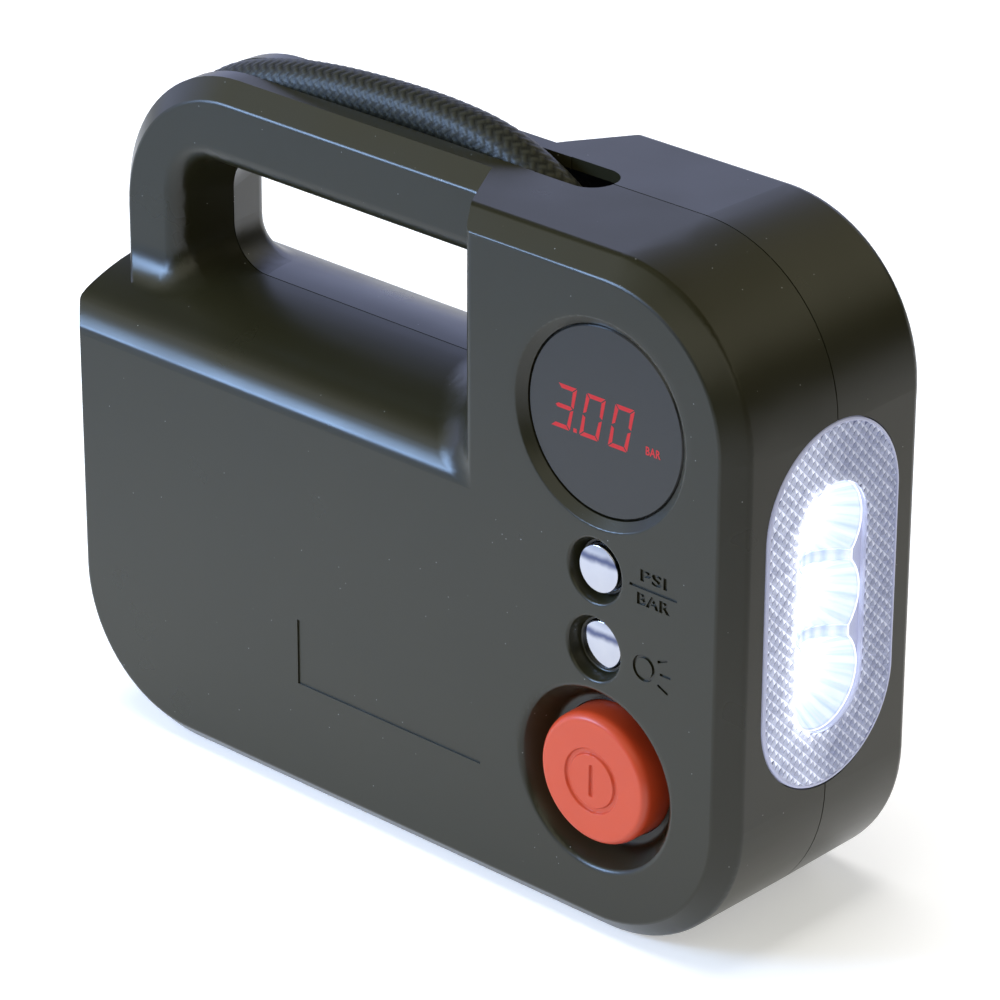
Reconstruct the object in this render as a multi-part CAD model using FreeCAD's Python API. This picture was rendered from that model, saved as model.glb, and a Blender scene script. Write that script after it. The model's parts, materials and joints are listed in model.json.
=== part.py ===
import FreeCAD, Part
import math
import os

"""Portable tyre inflator with a carrying handle, a stowed air hose and a work lamp.

Millimetres, +Z up. X runs along the body with the lamp at +X, the control face looks
to -Y, and the origin is under the middle of the base. The housing is two mouldings
that meet on the plane y = 0.
"""

# Driving dimensions of the housing
LENGTH = 219.0
HEIGHT = 172.0
HALF_WIDTH = 34.3
CORNER_R = 40.0
DRAFT = 0.63
CHAMFER = 5.0
FACE_BREAK = 1.5
SIDE_BREAK = 2.5
WALL = 3.0

# Handle and the arched shoulder that it stands on
GRIP_HALF = 16.0
GRIP_EDGE_R = 5.5
CREST_Z = 117.0
CREST_R = 66.0
RIM_R = 18.0
LIP_R = 5.0
LIP_TURN = 58.0
RIM_END = 88.0
OPENING_TOP = 148.5
OPENING_LEFT = -83.5
OPENING_R = 11.5
BAR_TAPER = 0.10
LEG_TAPER = 0.27
TOWER_X = 16.8
TOWER_SLOPE = math.tan(math.radians(30.0))
NOSE_R = 28.0
TOWER_EDGE_R = 3.5
TOWER_FOOT_R = 14.0
LEG_FOOT_R = 11.0
BAR_ROOT_R = 8.0

# Controls: centre x, z on the control face
DISPLAY = (68.5, 131.0)
DISPLAY_RIM_R = 25.7
WINDOW_R = 23.2
WINDOW_Y = -32.3
UNIT_BUTTON = (67.7, 94.4)
LAMP_BUTTON = (67.6, 74.5)
BUTTON_RIM_R = 8.1
BUTTON_R = 5.9
UNIT_TOP_Y = -33.5
LAMP_TOP_Y = -31.9
POWER_BUTTON = (68.2, 40.7)
POWER_RIM_R = 23.8
POWER_R = 16.6
POWER_TOP_Y = -35.0
POWER_FLOOR_Y = -26.4

# Work lamp on the +X end
LAMP_LOW_Z = 65.0
LAMP_HIGH_Z = 110.0
LAMP_R = 23.3
LAMP_PROUD = 0.8
LENS_THICK = 3.0
CUP_HEIGHTS = (67.5, 87.0, 106.0)
CUP_R = 12.2

# Air hose: outer radius and the points of its route in the plane y = 0
HOSE_R = 5.75
GROOVE_R = 6.4
SLOT_R = 6.5
SLOT_END_X = 35.2
HOSE_ROUTE = [
    (50.0, 112.0), (50.0, 129.0), (45.5, 143.0), (36.5, 156.0), (23.5, 165.5), (8.0, 172.0),
    (-11.0, 174.0), (-33.0, 173.7), (-54.0, 172.0), (-70.5, 168.7), (-84.2, 163.6), (-96.0, 153.4),
    (-102.4, 138.8), (-102.7, 120.0), (-102.4, 101.0), (-102.4, 84.0),
]
VALVE_R = 3.85

# Compressor: motor below, crank gear above it, cylinder on top
PLATE_X = 33.0
PLATE_THICK = 4.0
MOTOR_Z = 30.0
MOTOR_R = 17.9
TOOTH_MODULE = 1.0
PINION_TEETH = 10
GEAR_TEETH = 38
GEAR_GAP = 24.1
GEAR_Z = MOTOR_Z + GEAR_GAP
GEAR_X = 38.2
GEAR_THICK = 6.0
CRANK_R = 5.0
ROD_LENGTH = 36.0
BORE_X = 50.0
BORE_R = 10.0
WRIST_Z = GEAR_Z + CRANK_R + ROD_LENGTH
CYLINDER_TOP_Z = 102.0

# Battery cells stand in a row at the handle end
CELL_R = 9.2
CELL_X = (-77.5, -58.0, -38.5)
CELL_LOW_Z = 10.0
CELL_HIGH_Z = 75.0

# Housing screws, driven in from the rear side
SCREWS = [(-93.5, 21.8), (46.0, 10.0), (89.7, 17.5), (-84.0, 92.0), (0.0, 92.0), (93.5, 147.0), (60.0, 161.5)]
BOARD_POSTS = [(48.0, 154.0), (86.0, 154.0), (48.0, 66.0), (86.0, 66.0)]
INLET = (-45.0, 30.0)

X_AXIS = FreeCAD.Vector(1, 0, 0)
Y_AXIS = FreeCAD.Vector(0, 1, 0)
Z_AXIS = FreeCAD.Vector(0, 0, 1)
TINY = 0.02


def at(x, y, z):
    return FreeCAD.Vector(x, y, z)


def box(x0, x1, y0, y1, z0, z1):
    return Part.makeBox(x1 - x0, y1 - y0, z1 - z0, at(x0, y0, z0))


def rod_x(x0, x1, y, z, r):
    return Part.makeCylinder(r, x1 - x0, at(x0, y, z), X_AXIS)


def rod_y(y0, y1, place, r):
    return Part.makeCylinder(r, y1 - y0, at(place[0], y0, place[1]), Y_AXIS)


def rod_z(z0, z1, x, r):
    return Part.makeCylinder(r, z1 - z0, at(x, 0, z0), Z_AXIS)


def join(shapes):
    """One solid from pieces that overlap."""
    return shapes[0].fuse(shapes[1:]).removeSplitter()


def rounded(points, radii, closed=True):
    """Edges through the points, with a tangent arc of the given radius at each corner."""
    count = len(points)
    starts = []
    ends = []
    arcs = []
    for i in range(count):
        corner = points[i]
        radius = radii[i]
        if radius == 0 or (not closed and i in (0, count - 1)):
            starts.append(corner)
            ends.append(corner)
            arcs.append(None)
            continue
        back = (points[i - 1] - corner).normalize()
        ahead = (points[(i + 1) % count] - corner).normalize()
        half_turn = (math.pi - back.getAngle(ahead)) / 2
        reach = radius * math.tan(half_turn)
        inward = (back + ahead).normalize()
        middle = corner + inward * (radius / math.cos(half_turn) - radius)
        starts.append(corner + back * reach)
        ends.append(corner + ahead * reach)
        arcs.append(Part.Arc(starts[-1], middle, ends[-1]).toShape())
    edges = []
    for i in range(count):
        if arcs[i]:
            edges.append(arcs[i])
        following = (i + 1) % count
        if (closed or following) and ends[i].distanceToPoint(starts[following]) > 1e-6:
            edges.append(Part.LineSegment(ends[i], starts[following]).toShape())
    return Part.Wire(edges)


def turned(base, axis, profile, radii=None):
    """Solid of revolution. The profile is (distance along the axis, radius) pairs."""
    across = X_AXIS if axis.isEqual(Z_AXIS, 1e-6) else Z_AXIS
    points = [base + axis * along + across * r for along, r in profile]
    wire = rounded(points, radii or [0] * len(points))
    return Part.Face(wire).revolve(base, axis, 360)


def edges_where(shape, test):
    """Edges whose two ends and middle all pass the test."""
    chosen = []
    for edge in shape.Edges:
        middle = edge.valueAt((edge.FirstParameter + edge.LastParameter) / 2)
        places = [vertex.Point for vertex in edge.Vertexes] + [middle]
        if all(test(place) for place in places):
            chosen.append(edge)
    return chosen


def mirrored(shape):
    return shape.mirror(at(0, 0, 0), Y_AXIS)


# Housing mouldings

def side_outline(y, wall, draft):
    """Rounded rectangle of the side view at the depth y. The draft leaves its foot level."""
    x = LENGTH / 2 - wall - draft
    top = HEIGHT - wall - draft
    corners = [at(x, y, wall), at(x, y, top), at(-x, y, top), at(-x, y, wall)]
    return rounded(corners, [CORNER_R - wall - draft] * 4)


def chamfered_half(inner, depth, wall):
    """Rounded block on -Y that narrows a little towards its side face, which has a flat chamfer round it."""
    cut = CHAMFER - wall * (2 - math.sqrt(2))
    knee = depth - cut
    lean = DRAFT * knee / HALF_WIDTH
    inside = side_outline(inner, wall, -DRAFT * inner / HALF_WIDTH)
    border = side_outline(-knee, wall, lean)
    front = side_outline(-depth, wall + cut, lean)
    walls = Part.makeLoft([inside, border], True, True)
    return walls.fuse(Part.makeLoft([border, front], True, True)).removeSplitter()


def beside_tower(wall):
    """Space on the handle's side of the tower: a plan outline with a round nose, a flare and a rounded edge."""
    half_turn = math.radians(30)
    graze = math.radians(90 - RIM_END)
    join_y = -NOSE_R * math.sin(half_turn)
    join_x = TOWER_X - (GRIP_HALF + join_y) * TOWER_SLOPE + wall / math.cos(half_turn)
    centre_x = join_x + NOSE_R * math.cos(half_turn)
    tip = at(centre_x - NOSE_R, 0, 0)
    side = at(centre_x - NOSE_R * math.cos(half_turn / 2), -NOSE_R * math.sin(half_turn / 2), 0)
    meet = at(join_x, join_y, 0)
    radius = TOWER_EDGE_R - wall
    start_y = -HALF_WIDTH + TOWER_EDGE_R * math.cos(graze) - radius * math.sin(half_turn)
    start = at(join_x + (join_y - start_y) * TOWER_SLOPE, start_y, 0)
    centre = start + at(radius * math.cos(half_turn), radius * math.sin(half_turn), 0)
    turn = math.radians(45)
    middle = centre - at(radius * math.sin(turn), radius * math.cos(turn), 0)
    end = centre - at(radius * math.sin(graze), radius * math.cos(graze), 0)
    far = end + at(150, -150 * math.tan(graze), 0)
    edges = [Part.Arc(tip, side, meet).toShape(), Part.makeLine(meet, start)]
    edges.append(Part.Arc(start, middle, end).toShape())
    corners = [end, far, at(far.x, -60, 0), at(-140, -60, 0), at(-140, 5, 0), at(tip.x, 5, 0), tip]
    for first, second in zip(corners, corners[1:]):
        edges.append(Part.makeLine(first, second))
    plan = Part.Face(Part.Wire(edges))
    plan.translate(at(0, 0, 60))
    return plan.extrude(at(0, 0, 160))


def above_shoulder(wall):
    """Space over the shoulder, which falls from its crest in three arcs that steepen to the side face."""
    lip_y = -HALF_WIDTH + LIP_R * math.sin(math.radians(RIM_END))
    rim_y = lip_y + (RIM_R - LIP_R) * math.sin(math.radians(LIP_TURN))
    crest_z = CREST_Z - CREST_R
    rim_z = crest_z + math.sqrt((CREST_R - RIM_R) ** 2 - rim_y ** 2)
    lip_z = rim_z + (RIM_R - LIP_R) * math.cos(math.radians(LIP_TURN))
    inner = -math.degrees(math.asin(5 / CREST_R))
    join = math.degrees(math.asin(-rim_y / (CREST_R - RIM_R)))
    arcs = [(0, crest_z, CREST_R - wall, inner, join), (rim_y, rim_z, RIM_R - wall, join, LIP_TURN),
            (lip_y, lip_z, LIP_R - wall, LIP_TURN, RIM_END)]
    edges = []
    for y, z, radius, first, last in arcs:
        turns = [math.radians(angle) for angle in (first, (first + last) / 2, last)]
        points = [at(-150, y - radius * math.sin(turn), z + radius * math.cos(turn)) for turn in turns]
        edges.append(Part.Arc(*points).toShape())
    top = edges[0].Vertexes[0].Point
    end = points[2]
    low = at(-150, end.y - (end.z - 40) / math.tan(math.radians(RIM_END)), 40)
    corners = [end, low, at(-150, -70, 40), at(-150, -70, 230), at(-150, 5, 230), top]
    edges += [Part.makeLine(first, second) for first, second in zip(corners, corners[1:])]
    return Part.Face(Part.Wire(edges)).extrude(at(340, 0, 0))


def shoulder_space():
    """Space over the shoulder and beside the tower, with the blend along the tower's foot."""
    space = beside_tower(0).common(above_shoulder(0))
    foot = edges_where(space, lambda p: p.x > 0 and 61 < p.z < CREST_Z + TINY and p.y < TINY)
    foot = [edge for edge in foot if edge.BoundBox.XMax < 90]
    return space.makeFillet(TOWER_FOOT_R, foot).Solids[0]


def opening_outline(y):
    """Hand opening at the depth y: it widens from the parting plane to the handle's face."""
    top = OPENING_TOP - y * BAR_TAPER
    left = OPENING_LEFT + y * LEG_TAPER
    corners = [at(80, y, 80), at(80, y, top), at(left, y, top), at(left, y, 80)]
    return rounded(corners, [0, 0, OPENING_R, 0])


def handle_stock():
    """Slab of the handle's half thickness with the hand opening through it."""
    slab = chamfered_half(5, GRIP_HALF, 0).common(box(-150, 110, -GRIP_HALF, 5, 70, 230))
    opening = Part.makeLoft([opening_outline(5), opening_outline(-GRIP_HALF - 2)], True, True)
    return slab.cut(opening)


def on_shoulder(p):
    return abs(math.hypot(p.y, p.z - CREST_Z + CREST_R) - CREST_R) < TINY


def on_handle_border(p):
    """Whether a point lies where the flat side of the handle meets its chamfer."""
    reach = CORNER_R - CHAMFER - (GRIP_HALF - CHAMFER) / HALF_WIDTH * DRAFT
    dx = min(p.x - CORNER_R + LENGTH / 2, 0)
    dz = max(p.z - HEIGHT + CORNER_R, 0)
    return abs(p.y + GRIP_HALF) < TINY and abs(math.hypot(dx, dz) - reach) < TINY


def moulded_half():
    """Outside of the half on -Y: block, handle, hand opening and every blend between them."""
    block = chamfered_half(0, HALF_WIDTH, 0)
    side_border = edges_where(block, lambda p: abs(p.y + HALF_WIDTH - CHAMFER) < TINY)
    block = block.makeFillet(SIDE_BREAK, side_border)
    face_border = edges_where(block, lambda p: abs(p.y + HALF_WIDTH) < TINY)
    block = block.makeFillet(FACE_BREAK, face_border)
    half = block.cut(shoulder_space().cut(handle_stock())).Solids[0]
    grip = edges_where(half, lambda p: abs(p.y + GRIP_HALF) < TINY and p.x > -88.5 and p.z < 150.2)
    half = half.makeFillet(GRIP_EDGE_R, grip)
    root = edges_where(half, lambda p: abs(p.y + GRIP_HALF) < TINY and abs(p.x - TOWER_X) < TINY and p.z > 148)
    half = half.makeFillet(BAR_ROOT_R, root)
    leg_foot = edges_where(half, lambda p: on_shoulder(p) and -104.4 < p.x < -80 and p.y > -GRIP_HALF - TINY)
    half = half.makeFillet(LEG_FOOT_R, leg_foot)
    return half.makeFillet(FACE_BREAK, edges_where(half, on_handle_border))


def seam_relief():
    """Shallow steps round the parting plane that leave the fine dark line between the mouldings."""
    land = Part.Face(side_outline(2, 0.6, 0)).extrude(at(0, -4, 0))
    rim = box(-120, 120, -0.16, 1, -5, 180).cut(land)
    low = CREST_Z - 0.6
    high = OPENING_TOP + 0.6
    left = OPENING_LEFT - 0.6
    corners = [at(left, -0.16, low), at(12.5, -0.16, low), at(12.5, -0.16, high), at(left, -0.16, high)]
    opening = Part.Face(rounded(corners, [11.6, 14.6, 8.6, 12.1])).extrude(at(0, 1.16, 0))
    return [rim, opening]


def hose_wire():
    points = [at(x, 0, z) for x, z in HOSE_ROUTE]
    return rounded(points, hose_radii(), closed=False)


def hose_radii():
    """Largest tangent arc that the two runs beside each point of the route allow."""
    radii = [0]
    for (ax, az), (bx, bz), (cx, cz) in zip(HOSE_ROUTE, HOSE_ROUTE[1:], HOSE_ROUTE[2:]):
        before = math.hypot(bx - ax, bz - az)
        after = math.hypot(cx - bx, cz - bz)
        turn = math.atan2(cz - bz, cx - bx) - math.atan2(bz - az, bx - ax)
        turn = abs((turn + math.pi) % (2 * math.pi) - math.pi)
        radii.append(0.45 * min(before, after) / math.tan(turn / 2))
    return radii + [0]


def tube_along_route(radius):
    start = at(HOSE_ROUTE[0][0], 0, HOSE_ROUTE[0][1])
    ring = Part.Wire(Part.makeCircle(radius, start, Z_AXIS))
    return hose_wire().makePipeShell([ring], True, False)


def hose_groove():
    """Round-bottomed groove over the handle and down the end, with the slot where the hose goes in."""
    route = [at(x, 0, z) for x, z in HOSE_ROUTE[4:]]
    outside = [at(-140, 0, route[-1].z), at(-140, 0, 200), at(route[0].x, 0, 200)]
    band = Part.Face(rounded(route + outside, [0] * (len(route) + 3)))
    half_band = GROOVE_R - 0.1
    band.translate(at(0, -half_band, 0))
    channel = band.extrude(at(0, 2 * half_band, 0))
    slot = rod_z(150, 190, SLOT_END_X, SLOT_R).fuse(box(23, SLOT_END_X, -SLOT_R, SLOT_R, 150, 190))
    end_x = HOSE_ROUTE[-1][0]
    pocket = rod_z(36, 99, end_x, 7.6).fuse(box(-140, end_x, -7.5, 7.5, 36, 99))
    return [tube_along_route(GROOVE_R), channel, slot.removeSplitter(), pocket.removeSplitter()]


def stadium(x, radius):
    """Upright stadium outline of the lamp at the station x."""
    low = at(x, 0, LAMP_LOW_Z)
    high = at(x, 0, LAMP_HIGH_Z)
    side = at(0, radius, 0)
    rise = at(0, 0, radius)
    edges = [
        Part.Arc(low - side, low - rise, low + side).toShape(),
        Part.makeLine(low + side, high + side),
        Part.Arc(high + side, high + rise, high - side).toShape(),
        Part.makeLine(high - side, low - side),
    ]
    return Part.Face(Part.Wire(edges))


def lamp_seat():
    """Pocket for the lens and the window behind it."""
    face_x = LENGTH / 2
    pocket = stadium(face_x + LAMP_PROUD - LENS_THICK, LAMP_R + 0.3).extrude(at(10, 0, 0))
    window = stadium(face_x - 12, LAMP_R - 2.7).extrude(at(20, 0, 0))
    return [pocket, window]


def display_seat():
    """Dished rim, pocket for the smoked disc and the window behind it."""
    base = at(DISPLAY[0], -HALF_WIDTH, DISPLAY[1])
    depth = HALF_WIDTH + WINDOW_Y
    outer = DISPLAY_RIM_R + 2
    profile = [(-1, 0), (-1, outer), (0, outer), (0, DISPLAY_RIM_R), (depth, WINDOW_R + 0.3),
               (depth + 1.9, WINDOW_R + 0.3), (depth + 1.9, 20.5), (12, 20.5), (12, 0)]
    return turned(base, Y_AXIS, profile, [0, 0, 0, 0.8, 0, 0, 0, 0, 0])


def dish(place, rim_r, lip_r, depth, floor_r, floor_round, hole_r):
    """Round dish with a rolled lip, a sloping wall and a guide hole in its floor."""
    base = at(place[0], -HALF_WIDTH, place[1])
    profile = [(-1, 0), (-1, rim_r + 2), (0, rim_r + 2), (0, rim_r), (depth, floor_r), (depth, hole_r),
               (16, hole_r), (16, 0)]
    return turned(base, Y_AXIS, profile, [0, 0, 0, lip_r, floor_round, 0, 0, 0])


def button_seat(place):
    return dish(place, BUTTON_RIM_R, 0.9, 3.8, BUTTON_R + 1.0, 0.6, BUTTON_R + 0.3)


def power_seat():
    depth = HALF_WIDTH + POWER_FLOOR_Y
    return dish(POWER_BUTTON, POWER_RIM_R - 0.6, 1.8, depth, POWER_R + 2.6, 2.0, POWER_R + 0.4)


def label_recess():
    """Shallow rectangular recess low on the control face, left bare."""
    return box(-28.8, 32.2, -HALF_WIDTH - 1, -HALF_WIDTH + 0.4, 31.5, 49.0)


def cavity(standing):
    """Inside of the half on -Y, less the bosses and ribs that are left standing in it."""
    space = beside_tower(WALL).common(above_shoulder(WALL))
    return chamfered_half(0, HALF_WIDTH - WALL, WALL).cut(space).cut(standing)


def shared_ribs():
    """Walls of the hose groove, frame guides, motor cradle and lamp supports, on -Y."""
    groove_wall = box(-110, -93.0, -10.8, 1, 30, 112)
    frame_guides = [box(30.8, 32.8, -32, 1, 0, 9), box(37.2, 39.2, -32, 1, 0, 9)]
    motor_space = rod_x(-20, 0, 0, MOTOR_Z, MOTOR_R + 0.2)
    cradle = box(-11, -9, -32, 1, 0, 27).cut(motor_space)
    tray_stop = box(-61, -59, -32, -12.2, 0, 40)
    lamp_stops = [box(89.8, 92.4, -32, -10, z, z + 3) for z in (56, 116)]
    return [groove_wall, cradle, tray_stop] + frame_guides + lamp_stops


def control_shell(outside):
    posts = [rod_y(-33, -20, place, 3.0) for place in BOARD_POSTS]
    columns = [rod_y(-33, 1, place, 3.5) for place in SCREWS]
    thick = [rod_y(-35, -28.9, DISPLAY, 27.0), rod_y(-35, -23.3, POWER_BUTTON, 26.2)]
    thick += [rod_y(-35, -28.3, place, 10.0) for place in (UNIT_BUTTON, LAMP_BUTTON)]
    hollow = cavity(shared_ribs() + posts + columns + thick)
    pilots = [rod_y(-20, 1, place, 1.25) for place in SCREWS]
    shell = outside.cut(hollow).cut(seam_relief())
    shell = shell.cut([display_seat(), power_seat(), button_seat(UNIT_BUTTON), button_seat(LAMP_BUTTON)])
    shell = shell.cut([label_recess()] + pilots)
    return shell.cut(hose_groove() + lamp_seat())


def rear_shell(outside):
    columns = [rod_y(-33, 1, place, 5.4) for place in SCREWS]
    switch_post = rod_y(-33, -0.1, POWER_BUTTON, 6.0)
    hollow = cavity(shared_ribs() + columns + [switch_post])
    half = mirrored(outside.cut(hollow).cut(seam_relief()))
    bores = [rod_y(-1, 40, place, 1.7) for place in SCREWS]
    head_wells = [rod_y(26.3, 40, place, 3.6) for place in SCREWS]
    inlet_hole = rod_y(25, 40, INLET, 5.2)
    half = half.cut(bores + head_wells + [inlet_hole])
    return half.cut(hose_groove() + lamp_seat())


# Controls on the side face

def display_window():
    disc = rod_y(WINDOW_Y, WINDOW_Y + 1.9, DISPLAY, WINDOW_R)
    front = edges_where(disc, lambda p: abs(p.y - WINDOW_Y) < TINY)
    return disc.makeChamfer(0.4, front)


def small_button(place, top_y):
    """Slightly domed metal cap on a stem with a flange that keeps it behind the wall."""
    base = at(place[0], top_y, place[1])
    profile = [(0, 0), (0, 2.9), (0.5, BUTTON_R), (5.3, BUTTON_R), (5.3, 7.3), (6.5, 7.3), (6.5, 2.2),
               (8.9, 2.2), (8.9, 0)]
    return turned(base, Y_AXIS, profile, [0, 30.0, 0.3, 0, 0, 0, 0, 0, 0])


def power_button():
    """Hollow cap with a rounded edge, a flange behind the wall and a stem to the switch."""
    base = at(POWER_BUTTON[0], POWER_TOP_Y, POWER_BUTTON[1])
    profile = [(0, 0), (0, POWER_R), (11.8, POWER_R), (11.8, POWER_R + 2), (13.8, POWER_R + 2), (13.8, 14.2),
               (2.5, 14.2), (2.5, 4), (21.5, 4), (21.5, 0)]
    return turned(base, Y_AXIS, profile, [0, 2.0, 0, 0, 0, 0, 1.0, 1.0, 0, 0])


def control_board():
    board = box(45, 89.5, -20, -18.4, 62, 156)
    board = board.makeFillet(2.0, [edge for edge in board.Edges if edge.BoundBox.YLength > 1])
    holes = [rod_y(-25, -15, place, 1.2) for place in BOARD_POSTS]
    return board.cut(holes)


def display_module():
    """Three-digit light module with a recessed face for each digit."""
    body = box(48, 89, -28.6, -20, 118, 144)
    digits = [box(x, x + 10, -29, -28.2, 122, 140) for x in (51, 63.5, 76)]
    return body.cut(digits)


def tact_switch(place, top_y):
    x, z = place
    body = box(x - 3, x + 3, top_y + 0.6, -20, z - 3, z + 3)
    return body.fuse(rod_y(top_y, top_y + 1, place, 1.7)).removeSplitter()


def power_switch():
    x, z = POWER_BUTTON
    body = box(x - 7, x + 7, -10.0, -0.1, z - 7, z + 7)
    body = body.makeFillet(0.8, [edge for edge in body.Edges if edge.BoundBox.YLength > 5])
    return body.fuse(rod_y(-10.6, -9.5, POWER_BUTTON, 3.0)).removeSplitter()


# Work lamp

def lamp_lens():
    """Clear stadium cover with a softened front edge and a three-lobed window thinned from behind."""
    back_x = LENGTH / 2 + LAMP_PROUD - LENS_THICK
    front_x = LENGTH / 2 + LAMP_PROUD
    plate = stadium(back_x, LAMP_R).extrude(at(LENS_THICK, 0, 0))
    plate = plate.makeFillet(1.0, edges_where(plate, lambda p: abs(p.x - front_x) < TINY))
    lobes = [rod_x(back_x - 1, back_x + 1.2, 0, z, CUP_R) for z in CUP_HEIGHTS]
    return plate.cut(lobes)


def lamp_reflector():
    """Block with three bowl-shaped cups that run into each other at the mouth."""
    mouth_x = 105.9
    block = stadium(94.0, LAMP_R - 1.8).extrude(at(mouth_x - 94.0, 0, 0))
    cups = []
    for z in CUP_HEIGHTS:
        base = at(mouth_x, 0, z)
        bowl = [base, at(mouth_x, 0, z + CUP_R), at(mouth_x - 9.4, 0, z + 3.4),
                at(mouth_x - 14, 0, z + 3.4), at(mouth_x - 14, 0, z)]
        curve = Part.Arc(bowl[1], at(mouth_x - 4.0, 0, z + 9.8), bowl[2]).toShape()
        edges = [Part.makeLine(bowl[0], bowl[1]), curve, Part.makeLine(bowl[2], bowl[3])]
        edges += [Part.makeLine(bowl[3], bowl[4]), Part.makeLine(bowl[4], bowl[0])]
        cups.append(Part.Face(Part.Wire(edges)).revolve(base, X_AXIS, 360))
    return block.cut(cups)


def led_board():
    return stadium(92.4, LAMP_R - 2.3).extrude(at(1.6, 0, 0))


def lamp_led(z):
    """Square package with a domed lens."""
    package = box(94.0, 94.9, -2.2, 2.2, z - 2.2, z + 2.2)
    dome = Part.makeSphere(2.1, at(94.9, 0, z), X_AXIS, 0, 90, 360)
    return package.fuse(dome).removeSplitter()


# Hose and its valve connector

def outlet_sleeve():
    low = HOSE_ROUTE[0][1]
    profile = [(0, HOSE_R + 0.05), (0, 6.9), (9.5, 6.9), (9.5, HOSE_R + 0.05)]
    return turned(at(HOSE_ROUTE[0][0], 0, low), Z_AXIS, profile, [0, 0.5, 0.8, 0])


def valve_sleeve():
    x, low = HOSE_ROUTE[-1]
    profile = [(0, HOSE_R + 0.05), (0, 6.9), (9.0, 6.9), (9.0, HOSE_R + 0.05)]
    return turned(at(x, 0, low), Z_AXIS, profile, [0, 0.5, 0.8, 0])


def valve_stem():
    """Brass tail of the connector, with the head that the nut turns on."""
    x, top = HOSE_ROUTE[-1]
    profile = [(0, 1.2), (0, 6.9), (-3, 6.9), (-3, 5.4), (-13.2, 5.4), (-13.2, 3.2),
               (-18.0, 3.2), (-18.0, 4.6), (-26.6, 4.6), (-26.6, 1.2)]
    return turned(at(x, 0, top), Z_AXIS, profile, [0, 0.4, 0.4, 0, 0.8, 0, 0, 0.4, 0.4, 0])


def valve_nut():
    """Fluted nut that screws on a tyre valve and turns freely on the stem."""
    x, top = HOSE_ROUTE[-1]
    profile = [(-15.0, 3.4), (-15.0, 7.0), (-40.0, 7.0), (-40.0, VALVE_R), (-29.0, VALVE_R), (-29.0, 4.8),
               (-17.8, 4.8), (-17.8, 3.4)]
    nut = turned(at(x, 0, top), Z_AXIS, profile, [0, 1.0, 0.8, 0, 0, 0, 0, 0])
    flutes = []
    for step in range(12):
        angle = math.radians(30 * step)
        centre = at(x + 8.2 * math.cos(angle), 8.2 * math.sin(angle), top - 37.0)
        flutes.append(Part.makeCylinder(1.7, 18.0, centre, Z_AXIS))
    return nut.cut(flutes)


def valve_seal():
    x, top = HOSE_ROUTE[-1]
    profile = [(-26.9, 1.4), (-26.9, 4.6), (-28.9, 4.6), (-28.9, 1.4)]
    return turned(at(x, 0, top), Z_AXIS, profile)


# Compressor

def tooth_outline(teeth, tip, root, x, turn):
    """Involute gear outline in the plane across X, three points on each flank."""
    pitch = TOOTH_MODULE * teeth / 2
    base = pitch * math.cos(math.radians(20))
    start = max(base, root)
    play = 0.07 / pitch
    pitch_roll = math.tan(math.radians(20)) - math.radians(20)
    flank = []
    for share in (0.0, 0.5, 1.0):
        radius = start + (tip - start) * share
        tilt = math.acos(min(1.0, base / radius))
        half_angle = math.pi / (2 * teeth) - play + pitch_roll - (math.tan(tilt) - tilt)
        flank.append((radius, half_angle))
    points = []
    for tooth in range(teeth):
        middle = turn + 2 * math.pi * tooth / teeth
        side = [(root, flank[0][1])] + flank if root < start - 0.01 else flank
        ring = [(radius, middle - angle) for radius, angle in side]
        ring += [(radius, middle + angle) for radius, angle in reversed(side)]
        points += [at(x, radius * math.cos(angle), radius * math.sin(angle)) for radius, angle in ring]
    return Part.Face(rounded(points, [0] * len(points)))


def motor_pinion():
    tip = TOOTH_MODULE * (PINION_TEETH / 2 + 0.8)
    root = TOOTH_MODULE * (PINION_TEETH / 2 - 1.1)
    blank = tooth_outline(PINION_TEETH, tip, root, 0, math.radians(18)).extrude(at(5.6, 0, 0))
    blank.translate(at(GEAR_X + 0.2, 0, MOTOR_Z))
    return blank.cut(rod_x(30, 50, 0, MOTOR_Z, 1.6))


def crank_gear():
    """Large gear with a thinned web, a hub and six lightening holes."""
    tip = TOOTH_MODULE * (GEAR_TEETH / 2 + 0.6)
    root = TOOTH_MODULE * (GEAR_TEETH / 2 - 1.1)
    blank = tooth_outline(GEAR_TEETH, tip, root, 0, 0).extrude(at(GEAR_THICK, 0, 0))
    blank.translate(at(GEAR_X, 0, GEAR_Z))
    face_x = GEAR_X + GEAR_THICK
    dish = rod_x(face_x - 1.5, face_x + 1, 0, GEAR_Z, 15.5).cut(rod_x(face_x - 2, face_x + 2, 0, GEAR_Z, 9.0))
    cuts = [dish, rod_x(GEAR_X - 1, face_x + 1, 0, GEAR_Z, 2.5)]
    for step in range(6):
        angle = math.radians(60 * step + 30)
        y = 12.2 * math.cos(angle)
        z = GEAR_Z + 12.2 * math.sin(angle)
        cuts.append(rod_x(GEAR_X - 1, face_x + 1, y, z, 2.4))
    return blank.cut(cuts)


def gear_axle():
    axle = rod_x(PLATE_X - 3.0, GEAR_X + GEAR_THICK, 0, GEAR_Z, 2.5)
    groove = rod_x(PLATE_X - 1.8, PLATE_X - 1.0, 0, GEAR_Z, 3)
    neck = rod_x(PLATE_X - 3, PLATE_X, 0, GEAR_Z, 2.0)
    return axle.cut(groove.cut(neck))


def axle_bush():
    profile = [(0, 2.55), (0, 5.0), (4.0, 5.0), (4.0, 6.5), (5.0, 6.5), (5.0, 2.55)]
    return turned(at(PLATE_X, 0, GEAR_Z), X_AXIS, profile)


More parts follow.
